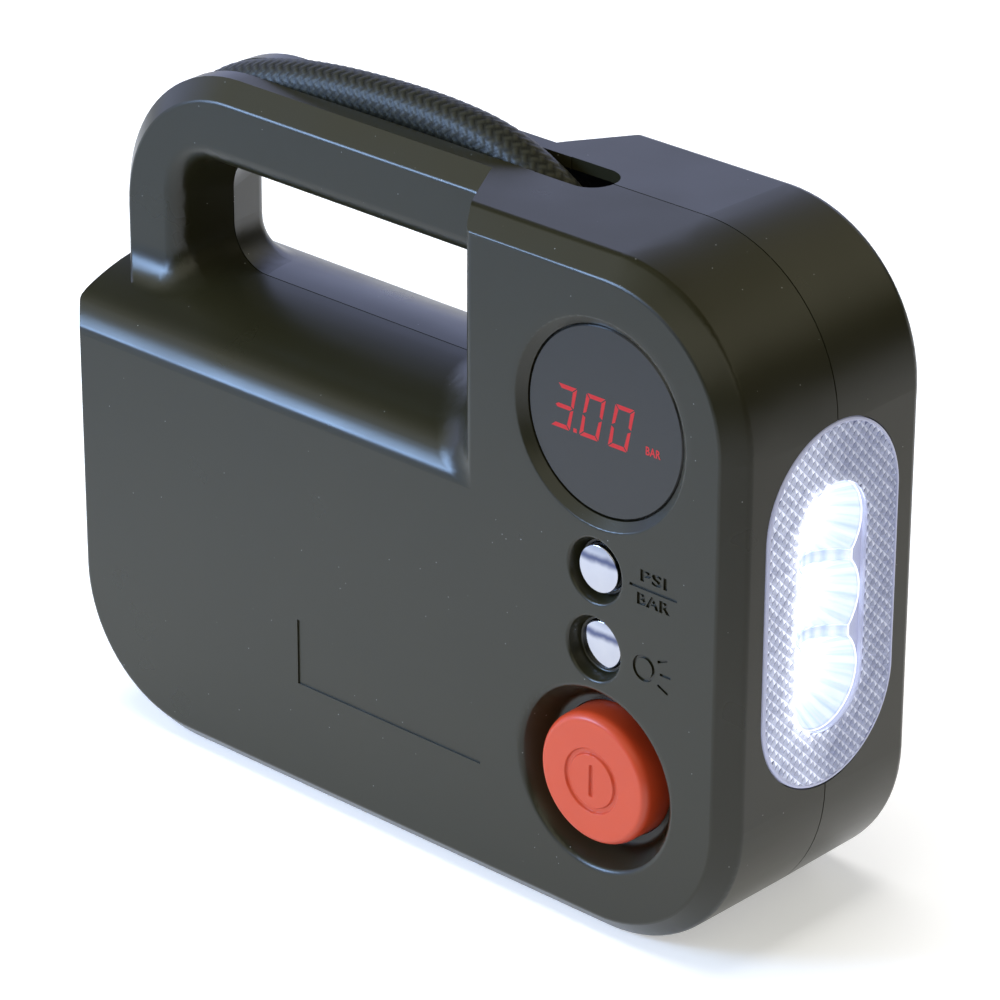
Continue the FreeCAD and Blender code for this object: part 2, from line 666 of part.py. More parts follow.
def compressor_frame():
    """Upright plate with round shoulders that the motor, the axle and the cylinder bolt to."""
    corners = [at(PLATE_X, -20, 3.4), at(PLATE_X, 20, 3.4), at(PLATE_X, 20, 62), at(PLATE_X, 15, 80),
               at(PLATE_X, 15, 101), at(PLATE_X, -15, 101), at(PLATE_X, -15, 80), at(PLATE_X, -20, 62)]
    plate = Part.Face(rounded(corners, [3, 3, 12, 12, 4, 4, 12, 12])).extrude(at(PLATE_THICK, 0, 0))
    cuts = [rod_x(30, 40, 0, MOTOR_Z, 6.6), rod_x(30, 40, 0, GEAR_Z, 5.0)]
    for y, z in ((-12.5, MOTOR_Z), (12.5, MOTOR_Z), (-11.5, 81), (11.5, 81), (-11.5, 95), (11.5, 95)):
        cuts.append(rod_x(30, 40, y, z, 1.6))
    return plate.cut(cuts)


def motor_case():
    """Drawn steel can with rounded ends, a front boss and two pairs of air slots."""
    profile = [(-52.0, MOTOR_R), (0, MOTOR_R), (0, 6.5), (3.9, 6.5), (3.9, 1.65), (-52.0, 1.65)]
    case = turned(at(PLATE_X, 0, MOTOR_Z), X_AXIS, profile, [1.0, 3.0, 0, 0.5, 0, 0])
    slots = []
    for z in (MOTOR_Z - 7, MOTOR_Z + 7):
        slots.append(box(PLATE_X - 12, PLATE_X - 6, -20, -13, z - 2, z + 2))
        slots.append(box(PLATE_X - 12, PLATE_X - 6, 13, 20, z - 2, z + 2))
    return case.cut(slots)


def motor_cap():
    profile = [(0, 1.65), (0, 16.8), (-4.5, 16.8), (-4.5, 5.5), (-7.5, 5.5), (-7.5, 1.65)]
    cap = turned(at(PLATE_X - 52, 0, MOTOR_Z), X_AXIS, profile, [0, 0, 1.5, 0, 0.8, 0])
    tabs = [box(PLATE_X - 61, PLATE_X - 55, y - 0.4, y + 0.4, MOTOR_Z - 2, MOTOR_Z + 2) for y in (-11, 11)]
    return join([cap] + tabs)


def motor_shaft():
    return rod_x(PLATE_X - 61, GEAR_X + 6.2, 0, MOTOR_Z, 1.6)


def cylinder():
    """Finned cylinder with a mounting pad for the frame."""
    low = 74.6
    top = CYLINDER_TOP_Z - low
    profile = [(0, BORE_R), (0, 12.4), (top - 16, 12.4)]
    for fin in range(4):
        rise = top - 16 + 4 * fin
        profile += [(rise, 12.6), (rise, 14.6), (rise + 1.6, 14.6), (rise + 1.6, 12.4)]
    profile += [(top, 12.4), (top, BORE_R)]
    barrel = turned(at(BORE_X, 0, low), Z_AXIS, profile)
    near = box(20, 37, -20, 20, 60, 120)
    pad = box(PLATE_X + PLATE_THICK, 43, -15, 15, 77, 99).cut(rod_z(60, 120, BORE_X, BORE_R + 1))
    return barrel.cut(near).fuse(pad).removeSplitter()


def cylinder_head():
    """Square head with cooling ribs and the outlet that the hose stands on."""
    corners = [at(BORE_X + dx, dy, CYLINDER_TOP_Z) for dx, dy in ((-13, -14), (15, -14), (15, 14), (-13, 14))]
    block = Part.Face(rounded(corners, [3] * 4)).extrude(at(0, 0, 7))
    grooves = [box(BORE_X - 20, BORE_X + 20, y - 0.9, y + 0.9, CYLINDER_TOP_Z + 3, 115) for y in (-11, 11)]
    outlet = turned(at(BORE_X, 0, CYLINDER_TOP_Z + 6.9), Z_AXIS, [(0, 0), (0, 8.0), (3.1, 6.9), (3.1, 0)])
    head = block.cut(grooves).fuse(outlet)
    return head.cut(rod_z(CYLINDER_TOP_Z - 1, 120, BORE_X, 1.5))


def pressure_sensor():
    """Sensor block screwed to the side of the head, with its connector pins."""
    body = box(65, 73, -4, 4, CYLINDER_TOP_Z + 0.5, CYLINDER_TOP_Z + 6.5)
    pins = [box(73, 76, y - 0.3, y + 0.3, CYLINDER_TOP_Z + 3, CYLINDER_TOP_Z + 3.6) for y in (-2.5, 0, 2.5)]
    return join([body] + pins)


def piston():
    profile = [(-4.0, 0), (-4.0, 9.95), (6.0, 9.95), (6.0, 0)]
    body = turned(at(BORE_X, 0, WRIST_Z), Z_AXIS, profile, [0, 0.5, 0.4, 0])
    slot = box(BORE_X - 3.5, BORE_X + 3.5, -11, 11, WRIST_Z - 6, WRIST_Z + 4)
    return body.cut([slot, rod_x(BORE_X - 12, BORE_X + 12, 0, WRIST_Z, 1.5)])


def piston_seal():
    profile = [(6.0, 0), (6.0, 9.9), (6.8, 9.9), (6.8, 0)]
    return turned(at(BORE_X, 0, WRIST_Z), Z_AXIS, profile)


def wrist_pin():
    return rod_x(BORE_X - 8.5, BORE_X + 8.5, 0, WRIST_Z, 1.5)


def connecting_rod():
    """Flat rod with an eye at each end and a waisted shank."""
    low = GEAR_Z + CRANK_R
    x0 = BORE_X - 3.0
    big = rod_x(x0, x0 + 6, 0, low, 5.0)
    small = rod_x(x0, x0 + 6, 0, WRIST_Z, 3.6)
    side = [(-3.4, low + 3), (3.4, low + 3), (1.9, low + 16), (1.9, WRIST_Z - 2), (-1.9, WRIST_Z - 2),
            (-1.9, low + 16)]
    outline = rounded([at(x0 + 1, y, z) for y, z in side], [0, 0, 14, 0, 0, 14])
    shank = Part.Face(outline).extrude(at(4, 0, 0))
    rod = join([big, small, shank])
    return rod.cut([rod_x(40, 60, 0, low, 2.5), rod_x(40, 60, 0, WRIST_Z, 1.55)])


def crank_pin():
    """Pin in the rod's big eye; it ends just short of the gear that it is carried round by."""
    low = GEAR_Z + CRANK_R
    start = GEAR_X + GEAR_THICK + 0.3
    pin = rod_x(start, BORE_X + 3.0, 0, low, 2.5)
    head = rod_x(BORE_X + 3.0, BORE_X + 4.2, 0, low, 3.6)
    return pin.fuse(head).removeSplitter()


# Battery and charging

def battery_tray():
    """Tray that follows the housing's inner corner and holds the cells upright."""
    inside = Part.Face(side_outline(-12, WALL + 0.4, 0)).extrude(at(0, 24, 0))
    block = box(-87.8, -28, -12, 12, 0, 24).common(inside)
    pockets = [rod_z(CELL_LOW_Z, 30, x, CELL_R + 0.1) for x in CELL_X]
    return block.cut(pockets)


def battery_cell(x):
    """Round cell with a shrunk edge at each end and a raised contact."""
    profile = [(0, 0), (0, CELL_R), (64.0, CELL_R), (64.0, 4.0), (65.0, 4.0), (65.0, 0)]
    return turned(at(x, 0, CELL_LOW_Z), Z_AXIS, profile, [0, 0.8, 0.8, 0, 0, 0])


def battery_cap():
    low = CELL_HIGH_Z - 7
    corners = [at(-87.8, -12, low), at(-28, -12, low), at(-28, 12, low), at(-87.8, 12, low)]
    block = Part.Face(rounded(corners, [4] * 4)).extrude(at(0, 0, 10.5))
    pockets = [rod_z(low - 1, CELL_HIGH_Z, x, CELL_R + 0.1) for x in CELL_X]
    return block.cut(pockets)


def charge_board():
    low = CELL_HIGH_Z + 3.5
    board = box(-84, -32, -10, 10, low, low + 1.6)
    chips = [box(-76, -66, -5, 5, low + 1.5, low + 4), box(-58, -50, -3, 5, low + 1.5, low + 3.2)]
    return join([board] + chips)


def charge_inlet():
    """Round charging socket with a centre pin, set in the rear moulding."""
    x, z = INLET
    body = box(x - 6, x + 6, 20, 31.2, z - 6, z + 6)
    barrel = rod_y(31.0, 33.8, INLET, 5.0)
    socket = rod_y(24.3, 36, INLET, 2.75)
    pin = rod_y(24.0, 33.0, INLET, 1.05)
    return body.fuse(barrel).cut(socket).fuse(pin).removeSplitter()


def build_nodes():
    outside = moulded_half()
    nodes = {
        "control_shell": control_shell(outside),
        "rear_shell": rear_shell(outside),
        "display_window": display_window(),
        "display_module": display_module(),
        "unit_button": small_button(UNIT_BUTTON, UNIT_TOP_Y),
        "lamp_button": small_button(LAMP_BUTTON, LAMP_TOP_Y),
        "power_button": power_button(),
        "unit_switch": tact_switch(UNIT_BUTTON, -23.5),
        "lamp_switch": tact_switch(LAMP_BUTTON, -22.2),
        "power_switch": power_switch(),
        "control_board": control_board(),
        "lamp_lens": lamp_lens(),
        "lamp_reflector": lamp_reflector(),
        "led_board": led_board(),
        "air_hose": tube_along_route(HOSE_R),
        "outlet_sleeve": outlet_sleeve(),
        "valve_sleeve": valve_sleeve(),
        "valve_stem": valve_stem(),
        "valve_seal": valve_seal(),
        "valve_nut": valve_nut(),
        "compressor_frame": compressor_frame(),
        "motor_case": motor_case(),
        "motor_cap": motor_cap(),
        "motor_shaft": motor_shaft(),
        "motor_pinion": motor_pinion(),
        "axle_bush": axle_bush(),
        "gear_axle": gear_axle(),
        "crank_gear": crank_gear(),
        "crank_pin": crank_pin(),
        "connecting_rod": connecting_rod(),
        "wrist_pin": wrist_pin(),
        "piston": piston(),
        "piston_seal": piston_seal(),
        "cylinder": cylinder(),
        "cylinder_head": cylinder_head(),
        "pressure_sensor": pressure_sensor(),
        "battery_tray": battery_tray(),
        "battery_cap": battery_cap(),
        "charge_board": charge_board(),
        "charge_inlet": charge_inlet(),
    }
    for number, z in enumerate(CUP_HEIGHTS, 1):
        nodes["lamp_led_%d" % number] = lamp_led(z)
    for number, x in enumerate(CELL_X, 1):
        nodes["battery_cell_%d" % number] = battery_cell(x)
    return nodes


def print_hose_facts(hose):
    length = hose_wire().Length
    section = math.pi * HOSE_R ** 2
    print("hose length %.1f mm" % length)
    print("hose volume %.0f mm3, section times length %.0f mm3" % (hose.Volume, section * length))
    print("hose radii " + " ".join("%.0f" % radius for radius in hose_radii()[1:-1]))


os.makedirs("parts", exist_ok=True)
all_nodes = build_nodes()
print_hose_facts(all_nodes["air_hose"])
for node_name, node_shape in all_nodes.items():
    node_shape.exportStep("parts/%s.step" % node_name)
    print("%-18s solids %d valid %s volume %.1f cm3" % (
        node_name, len(node_shape.Solids), node_shape.isValid(), node_shape.Volume / 1000))
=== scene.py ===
import json
import math
import bmesh
import bpy
import numpy as np
from mathutils import Matrix, Vector


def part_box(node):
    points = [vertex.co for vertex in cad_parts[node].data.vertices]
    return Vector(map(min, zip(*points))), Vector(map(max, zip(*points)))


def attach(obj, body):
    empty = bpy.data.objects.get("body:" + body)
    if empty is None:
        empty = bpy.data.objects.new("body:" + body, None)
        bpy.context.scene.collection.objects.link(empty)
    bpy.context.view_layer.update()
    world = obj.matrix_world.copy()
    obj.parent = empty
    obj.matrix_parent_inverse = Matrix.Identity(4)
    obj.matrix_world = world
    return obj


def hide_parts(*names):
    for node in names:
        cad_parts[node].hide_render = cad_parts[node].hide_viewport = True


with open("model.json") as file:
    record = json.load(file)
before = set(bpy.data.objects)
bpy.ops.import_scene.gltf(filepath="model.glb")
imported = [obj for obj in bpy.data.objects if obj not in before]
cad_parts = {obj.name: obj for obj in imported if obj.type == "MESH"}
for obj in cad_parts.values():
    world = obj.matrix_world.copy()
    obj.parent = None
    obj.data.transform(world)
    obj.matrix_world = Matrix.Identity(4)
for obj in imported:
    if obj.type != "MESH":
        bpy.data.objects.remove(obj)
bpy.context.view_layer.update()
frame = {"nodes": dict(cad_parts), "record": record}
nodes = frame["nodes"]
mm = 0.001
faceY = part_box("control_shell")[0].y  # the flat control face


# Colour and node helpers

def hexColour(code):
    # sRGB hex to linear: v/12.92 below 0.04045, ((v+0.055)/1.055)^2.4 above
    values = [int(code[i:i + 2], 16) / 255 for i in (1, 3, 5)]
    return (*(v / 12.92 if v <= 0.04045 else ((v + 0.055) / 1.055) ** 2.4 for v in values), 1.0)


def fillSocket(tree, socket, value):
    # a socket is linked, a hex code is made linear, and any other value is set as it is
    if isinstance(value, bpy.types.NodeSocket):
        tree.links.new(value, socket)
    else:
        socket.default_value = hexColour(value) if isinstance(value, str) else value


def addNode(tree, kind, inputs=None, **settings):
    node = tree.nodes.new("ShaderNode" + kind)
    for name, value in settings.items():
        setattr(node, name, value)
    for name, value in (inputs or {}).items():
        fillSocket(tree, node.inputs[name], value)
    return node


def newMaterial(name, **values):
    # a Principled surface; constants go straight on its sockets
    material = bpy.data.materials.new(name)
    material.use_nodes = True
    tree = material.node_tree
    shader = tree.nodes["Principled BSDF"]
    for key, value in values.items():
        fillSocket(tree, shader.inputs[key.replace("_", " ")], value)
    return material, tree, shader


def patches(tree, size, detail=2.0):
    # noise that stays with the object, in patches of the given size in metres
    place = addNode(tree, "TexCoord").outputs["Object"]
    return addNode(tree, "TexNoise", {"Vector": place, "Scale": 1 / size, "Detail": detail}).outputs["Fac"]


def grainBump(tree, shader, size, depth, strength):
    # fine moulding grain: noise cells of the given size in metres, raised by depth
    bump = addNode(tree, "Bump", {"Height": patches(tree, size), "Distance": depth, "Strength": strength})
    tree.links.new(bump.outputs["Normal"], shader.inputs["Normal"])


def blotches(tree, shader, socketName, size, low, high):
    # slow drift of one value over patches of the given size
    drift = addNode(tree, "MapRange", {"Value": patches(tree, size, 3.0), "From Min": 0.3, "From Max": 0.7,
                                       "To Min": low, "To Max": high})
    tree.links.new(drift.outputs["Result"], shader.inputs[socketName])


def twoTone(tree, shader, size, codeA, codeB, socketName="Base Color"):
    # one colour drifting to another over patches of the given size
    mix = addNode(tree, "Mix", {"Factor": patches(tree, size), "A": codeA, "B": codeB}, data_type="RGBA")
    tree.links.new(mix.outputs["Result"], shader.inputs[socketName])


# Mesh helpers

def newObject(name, data):
    piece = bpy.data.objects.new(name, data)
    bpy.context.scene.collection.objects.link(piece)
    return piece


def curveMesh(curve):
    # the mesh that a curve or text makes, and its points
    holder = newObject("curveHolder", curve)
    mesh = bpy.data.meshes.new_from_object(holder)
    bpy.data.objects.remove(holder)
    points = np.empty(len(mesh.vertices) * 3)
    mesh.vertices.foreach_get("co", points)
    return mesh, points.reshape(-1, 3)


def meshObject(name, points, faces, material, body, smooth=True):
    mesh = bpy.data.meshes.new(name)
    mesh.from_pydata(np.asarray(points, float).reshape(-1, 3).tolist(), [], [list(f) for f in faces])
    mesh.validate()
    mesh.update()
    piece = newObject(name, mesh)
    mesh.materials.append(material)
    mesh.polygons.foreach_set("use_smooth", [smooth] * len(mesh.polygons))
    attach(piece, body)
    return piece


def gridFaces(rows, columns, closeRows=False, closeColumns=False, first=0):
    # quads of a rows x columns grid, wrapped round where closed
    r = np.arange(rows if closeRows else rows - 1)
    c = np.arange(columns if closeColumns else columns - 1)
    r, c = (a.ravel() for a in np.meshgrid(r, c, indexing="ij"))
    nextR = (r + 1) % rows
    nextC = (c + 1) % columns
    quads = np.stack([r * columns + c, r * columns + nextC, nextR * columns + nextC, nextR * columns + c], 1)
    return quads + first


def faceOut(piece):
    # merge doubles, then turn every face outwards
    work = bmesh.new()
    work.from_mesh(piece.data)
    bmesh.ops.remove_doubles(work, verts=work.verts, dist=1e-7)
    bmesh.ops.recalc_face_normals(work, faces=work.faces)
    work.to_mesh(piece.data)
    work.free()
    piece.data.update()


def sharpen(piece, angle=35):
    piece.data.polygons.foreach_set("use_smooth", [True] * len(piece.data.polygons))
    piece.data.set_sharp_from_angle(angle=math.radians(angle))


# The camera stands where the photograph was taken from

photoView = {"azimuth": 42.708, "elevation": 25.239, "roll": 0.208, "distance": 1.18109,
             "target": (0.00667, 0.0, 0.08079), "focalLength": 176.36}


def placeCamera(view):
    az, el, roll = (math.radians(view[key]) for key in ("azimuth", "elevation", "roll"))
    back = Vector((math.sin(az) * math.cos(el), -math.cos(az) * math.cos(el), math.sin(el)))
    right = Vector((math.cos(az), math.sin(az), 0))
    up = back.cross(right)
    tilted = right * math.cos(roll) + up * math.sin(roll)
    data = bpy.data.cameras.new("photoCamera")
    data.lens = view["focalLength"]
    data.sensor_width = 36
    data.clip_end = 50
    camera = newObject("photoCamera", data)
    place = Matrix([tilted, back.cross(tilted), back]).transposed().to_4x4()
    place.translation = Vector(view["target"]) + back * view["distance"]
    camera.matrix_world = place
    bpy.context.scene.camera = camera


placeCamera(photoView)
print("camera placed")


# Air hose: a rubber hose in a woven nylon sleeve. The braid's crowns catch the light in rows

hose = {"radius": 5.75 * mm, "rings": 780, "around": 120, "strands": 24, "pitch": 1.35 * mm, "crown": 0.17 * mm,
        "route": [(50.0, 112.0), (50.0, 129.0), (45.5, 143.0), (36.5, 156.0), (23.5, 165.5), (8.0, 172.0),
                  (-11.0, 174.0), (-33.0, 173.7), (-54.0, 172.0), (-70.5, 168.7), (-84.2, 163.6),
                  (-96.0, 153.4), (-102.4, 138.8), (-102.7, 120.0), (-102.4, 101.0), (-102.4, 84.0)]}


def braidedNylon():
    # woven polyamide: matt olive-black yarn with a cool sheen along each crown, and painted shade that darkens the
    # base colour in the valleys between crowns
    material, tree, shader = newMaterial("wovenNylonBraid", Roughness=0.44, IOR=1.35, Sheen_Weight=0.05,
                                         Sheen_Roughness=0.4, Sheen_Tint="#c4c8d8")
    yarnWidth = 0.3 * mm
    uv = addNode(tree, "UVMap", uv_map="route").outputs["UV"]
    yarn = addNode(tree, "TexWave", {"Vector": uv, "Scale": 1 / yarnWidth / 6.28, "Distortion": 1.5, "Detail": 1.0},
                   bands_direction="DIAGONAL")
    bump = addNode(tree, "Bump", {"Height": yarn.outputs["Fac"], "Distance": 0.02 * mm, "Strength": 0.5})
    tree.links.new(bump.outputs["Normal"], shader.inputs["Normal"])
    # painted light and shade: the base colour is lighter on the braid's crowns and darker in its valleys
    crown = addNode(tree, "Attribute", attribute_name="crown")
    mix = addNode(tree, "Mix", {"Factor": crown.outputs["Fac"], "A": "#080804", "B": "#2c2b20"}, data_type="RGBA")
    tree.links.new(mix.outputs["Result"], shader.inputs["Base Color"])
    return material


def routeCurve(settings):
    curve = bpy.data.curves.new("hoseRoute", "CURVE")
    curve.dimensions = "3D"
    curve.resolution_u = 48
    spline = curve.splines.new("NURBS")
    spline.points.add(len(settings["route"]) - 1)
    for point, (x, z) in zip(spline.points, settings["route"]):
        point.co = (x * mm, 0, z * mm, 1)
    spline.order_u = 3
    spline.use_endpoint_u = True
    return curve


def evenly(points, count):
    lengths = np.concatenate([[0], np.cumsum(np.linalg.norm(np.diff(points, axis=0), axis=1))])
    places = np.linspace(0, lengths[-1], count)
    return np.stack([np.interp(places, lengths, points[:, k]) for k in range(3)], 1), places


def braidHeight(along, around, settings):
    # two families of strands cross; the one on top at a crossing swells, the other dips:
    # h = max(|cos a| * up, |cos b| * (1 - up)), with up a soft chequer of the two phases
    turns = settings["strands"] / 2
    step = 2 * math.pi * along / (2 * settings["pitch"])
    a = turns * around + step
    b = turns * around - step
    chequer = 0.5 + 0.5 * np.tanh(3 * np.sin(a / 2 + math.pi / 4) * np.sin(b / 2 + math.pi / 4))
    return np.maximum(np.abs(np.cos(a / 2)) ** 0.7 * chequer, np.abs(np.cos(b / 2)) ** 0.7 * (1 - chequer))


def buildHose(settings):
    line, linePoints = curveMesh(routeCurve(settings))
    bpy.data.meshes.remove(line)
    ring, along = evenly(linePoints, settings["rings"])
    tangent = np.gradient(ring, axis=0)
    tangent /= np.linalg.norm(tangent, axis=1)[:, None]
    side = np.array([0.0, 1.0, 0.0])
    upward = np.cross(side, tangent)
    around = np.linspace(0, 2 * math.pi, settings["around"], endpoint=False)
    height = braidHeight(along[:, None], around[None, :], settings)
    radius = settings["radius"] - settings["crown"] * (1 - height)
    points = (ring[:, None, :] + radius[..., None] * (np.cos(around)[None, :, None] * upward[:, None, :]
                                                      + np.sin(around)[None, :, None] * side))
    faces = gridFaces(settings["rings"], settings["around"], closeColumns=True).tolist()
    count = settings["around"]
    faces.append(list(range(count)))
    faces.append(list(range(settings["rings"] * count - 1, (settings["rings"] - 1) * count - 1, -1)))
    piece = meshObject("braidedHose", points, faces, braidedNylon(), "housing")
    attribute = piece.data.attributes.new("crown", "FLOAT", "POINT")
    attribute.data.foreach_set("value", height.ravel().astype(np.float32))
    uv = piece.data.uv_layers.new(name="route")
    corner = np.empty(len(piece.data.loops), int)
    piece.data.loops.foreach_get("vertex_index", corner)
    u = np.repeat(along, count)
    v = np.tile(around * settings["radius"], settings["rings"])
    uv.data.foreach_set("uv", np.stack([u[corner], v[corner]], 1).ravel())
    faceOut(piece)
    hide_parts("air_hose")


buildHose(hose)


# Materials, named for the real finishes

mouldSkin = {"skin": "#242213", "shade": "#201f12", "dust": "#8d8d8a", "grain": 0.3 * mm, "gloss": (0.27, 0.33),
             "dustPitch": 4.4 * mm, "dustSize": 0.17 * mm}


def mouldedAbs():
    # ABS from a spark-eroded mould: charcoal, satin, a fine grain that breaks up the highlights, and a few specks
    # of dust, one to a cell of 4.4 mm where the cell's point lies on the skin
    material, tree, shader = newMaterial("mouldedAbsSparkGrain", IOR=1.43)
    blotches(tree, shader, "Roughness", 25 * mm, *mouldSkin["gloss"])
    grainBump(tree, shader, mouldSkin["grain"], 0.010 * mm, 0.5)
    skin = addNode(tree, "Mix", {"Factor": patches(tree, 60 * mm), "A": mouldSkin["skin"],
                                 "B": mouldSkin["shade"]}, data_type="RGBA")
    place = addNode(tree, "TexCoord").outputs["Object"]
    cells = addNode(tree, "TexVoronoi", {"Vector": place, "Scale": 1 / mouldSkin["dustPitch"]})
    size = mouldSkin["dustSize"] / mouldSkin["dustPitch"]
    speck = addNode(tree, "MapRange", {"Value": cells.outputs["Distance"], "From Min": size,
                                       "From Max": 0.5 * size})
    dusty = addNode(tree, "Mix", {"Factor": speck.outputs["Result"], "A": skin.outputs["Result"],
                                  "B": mouldSkin["dust"]}, data_type="RGBA")
    tree.links.new(dusty.outputs["Result"], shader.inputs["Base Color"])
    return material


def smokedAcrylic():
    # smoked cast acrylic, polished: one dark even tone and a soft clean reflection
    material, tree, shader = newMaterial("smokedAcrylicPolished", IOR=1.44)
    twoTone(tree, shader, 30 * mm, "#262523", "#22221f")
    blotches(tree, shader, "Roughness", 12 * mm, 0.20, 0.25)
    return material


# a painted reflection on the chrome caps: a grey wavy band at these heights
reflectionBand = {"heights": (96.9 * mm, 77.0 * mm), "halfWidth": 1.7 * mm, "sway": 1.5 * mm, "code": "#565c76"}


def platedCap():
    # bright plating on a moulded cap, with a painted reflection, a grey band along one wavy line above its middle:
    # band = 1 - |z + sway * (noise - 0.5) - height| / half width, the greater of the two caps' bands
    material, tree, shader = newMaterial("chromePlatedCap", Metallic=1.0)
    blotches(tree, shader, "Roughness", 3 * mm, 0.03, 0.07)
    patch = patches(tree, 3.5 * mm)
    sway = addNode(tree, "Math", {0: patch, 1: reflectionBand["sway"], 2: -0.5 * reflectionBand["sway"]},
                   operation="MULTIPLY_ADD")
    axes = addNode(tree, "SeparateXYZ", {"Vector": addNode(tree, "TexCoord").outputs["Object"]})
    height = addNode(tree, "Math", {0: axes.outputs["Z"], 1: sway.outputs["Value"]}, operation="ADD")
    bands = []
    for middle in reflectionBand["heights"]:
        away = addNode(tree, "Math", {0: height.outputs["Value"], 1: middle}, operation="SUBTRACT")
        size = addNode(tree, "Math", {0: away.outputs["Value"]}, operation="ABSOLUTE")
        bands.append(addNode(tree, "MapRange", {"Value": size.outputs["Value"], "From Min": reflectionBand["halfWidth"],
                                                "From Max": 0.0},
                             interpolation_type="SMOOTHSTEP").outputs["Result"])
    band = addNode(tree, "Math", {0: bands[0], 1: bands[1]}, operation="MAXIMUM").outputs["Value"]
    bright = addNode(tree, "Mix", {"Factor": patch, "A": "#b9babf", "B": "#aeb0ba"}, data_type="RGBA")
    # painted reflection: the plating colour turns grey inside the wavy band
    chromeAndReflection = addNode(tree, "Mix", {"Factor": band, "A": bright.outputs["Result"], "B": reflectionBand["code"]},
                   data_type="RGBA")
    tree.links.new(chromeAndReflection.outputs["Result"], shader.inputs["Base Color"])
    return material


def satinRed():
    # moulded vermilion plastic, satin, a little paler where the light grazes it
    material, tree, shader = newMaterial("satinVermilionPlastic", IOR=1.47)
    twoTone(tree, shader, 12 * mm, "#c34422", "#bc3e1d")
    blotches(tree, shader, "Roughness", 8 * mm, 0.34, 0.40)
    grainBump(tree, shader, 0.3 * mm, 0.006 * mm, 0.4)
    return material


def plainPlastic(name, codeA, codeB, roughness):
    material, tree, shader = newMaterial(name, IOR=1.5)
    twoTone(tree, shader, 15 * mm, codeA, codeB)
    blotches(tree, shader, "Roughness", 10 * mm, roughness - 0.05, roughness + 0.05)
    grainBump(tree, shader, 0.4 * mm, 0.01 * mm, 0.4)
    return material


def turnedMetal(name, codeA, codeB, roughness):
    # machined metal: fine rings from the lathe, drawn as bands 0.25 mm apart
    material, tree, shader = newMaterial(name, Metallic=1.0)
    twoTone(tree, shader, 6 * mm, codeA, codeB)
    blotches(tree, shader, "Roughness", 5 * mm, roughness - 0.06, roughness + 0.06)
    place = addNode(tree, "TexCoord").outputs["Object"]
    rings = addNode(tree, "TexWave", {"Vector": place, "Scale": 1 / (0.25 * mm) / 6.28, "Distortion": 0.6},
                    bands_direction="Z")
    bump = addNode(tree, "Bump", {"Height": rings.outputs["Fac"], "Distance": 0.006 * mm, "Strength": 0.4})
    tree.links.new(bump.outputs["Normal"], shader.inputs["Normal"])
    return material


def solderMask():
    # glass-epoxy laminate under green solder mask, with the trace pattern showing faintly
    material, tree, shader = newMaterial("greenSolderMask", IOR=1.5, Roughness=0.3)
    place = addNode(tree, "TexCoord").outputs["Object"]
    cells = addNode(tree, "TexVoronoi", {"Vector": place, "Scale": 1 / (3 * mm)}, distance="MANHATTAN")
    edge = addNode(tree, "MapRange", {"Value": cells.outputs["Distance"], "From Min": 0.3, "From Max": 0.45})
    mix = addNode(tree, "Mix", {"Factor": edge.outputs["Result"], "A": "#12502c", "B": "#1b6b3c"}, data_type="RGBA")
    tree.links.new(mix.outputs["Result"], shader.inputs["Base Color"])
    return material


def metallisedPlastic():
    # vacuum-metallised plastic: a soft mirror with a slight cool cast
    material, tree, shader = newMaterial("metallisedReflector", Metallic=1.0)
    twoTone(tree, shader, 4 * mm, "#e8ebf2", "#dfe3ee")
    blotches(tree, shader, "Roughness", 3 * mm, 0.10, 0.15)
    return material


def litMaterial(name, lowCode, highCode, lightLow, lightHigh, roughness):
    # a surface with painted lamplight: its colour and its glow go from low to high with the attribute lamplight
    material, tree, shader = newMaterial(name, Roughness=roughness)
    lamplight = addNode(tree, "Attribute", attribute_name="lamplight")
    mix = addNode(tree, "Mix", {"Factor": lamplight.outputs["Fac"], "A": lowCode, "B": highCode}, data_type="RGBA")
    for socketName in ("Base Color", "Emission Color"):
        tree.links.new(mix.outputs["Result"], shader.inputs[socketName])
    strength = addNode(tree, "MapRange", {"Value": lamplight.outputs["Fac"], "To Min": lightLow,
                                          "To Max": lightHigh})
    tree.links.new(strength.outputs["Result"], shader.inputs["Emission Strength"])
    return material


def whiteLed():
    # a lit white LED in its encapsulant: phosphor a touch warmer in patches
    material, tree, shader = newMaterial("litWhiteLed", Roughness=0.3, Emission_Strength=9.0)
    twoTone(tree, shader, 1 * mm, "#fff8ec", "#f4f7ff")
    twoTone(tree, shader, 1 * mm, "#fff6e4", "#f0f5ff", "Emission Color")
    return material


def redSegment():
    # a lit red segment behind the window: a little uneven along its length
    material, tree, shader = newMaterial("litRedSegment", Base_Color="#2a0808", Roughness=0.4, IOR=1.3,
                                         Emission_Strength=0.9)
    twoTone(tree, shader, 1.5 * mm, "#c31f28", "#d2323a", "Emission Color")
    return material


def clearPane():
    # clear moulded polycarbonate: a thin pane with faint ripples
    material, tree, shader = newMaterial("clearPolycarbonatePane", Transmission_Weight=1.0, IOR=1.12,
                                         Base_Color="#fbfcff")
    blotches(tree, shader, "Roughness", 4 * mm, 0.0, 0.04)
    return material


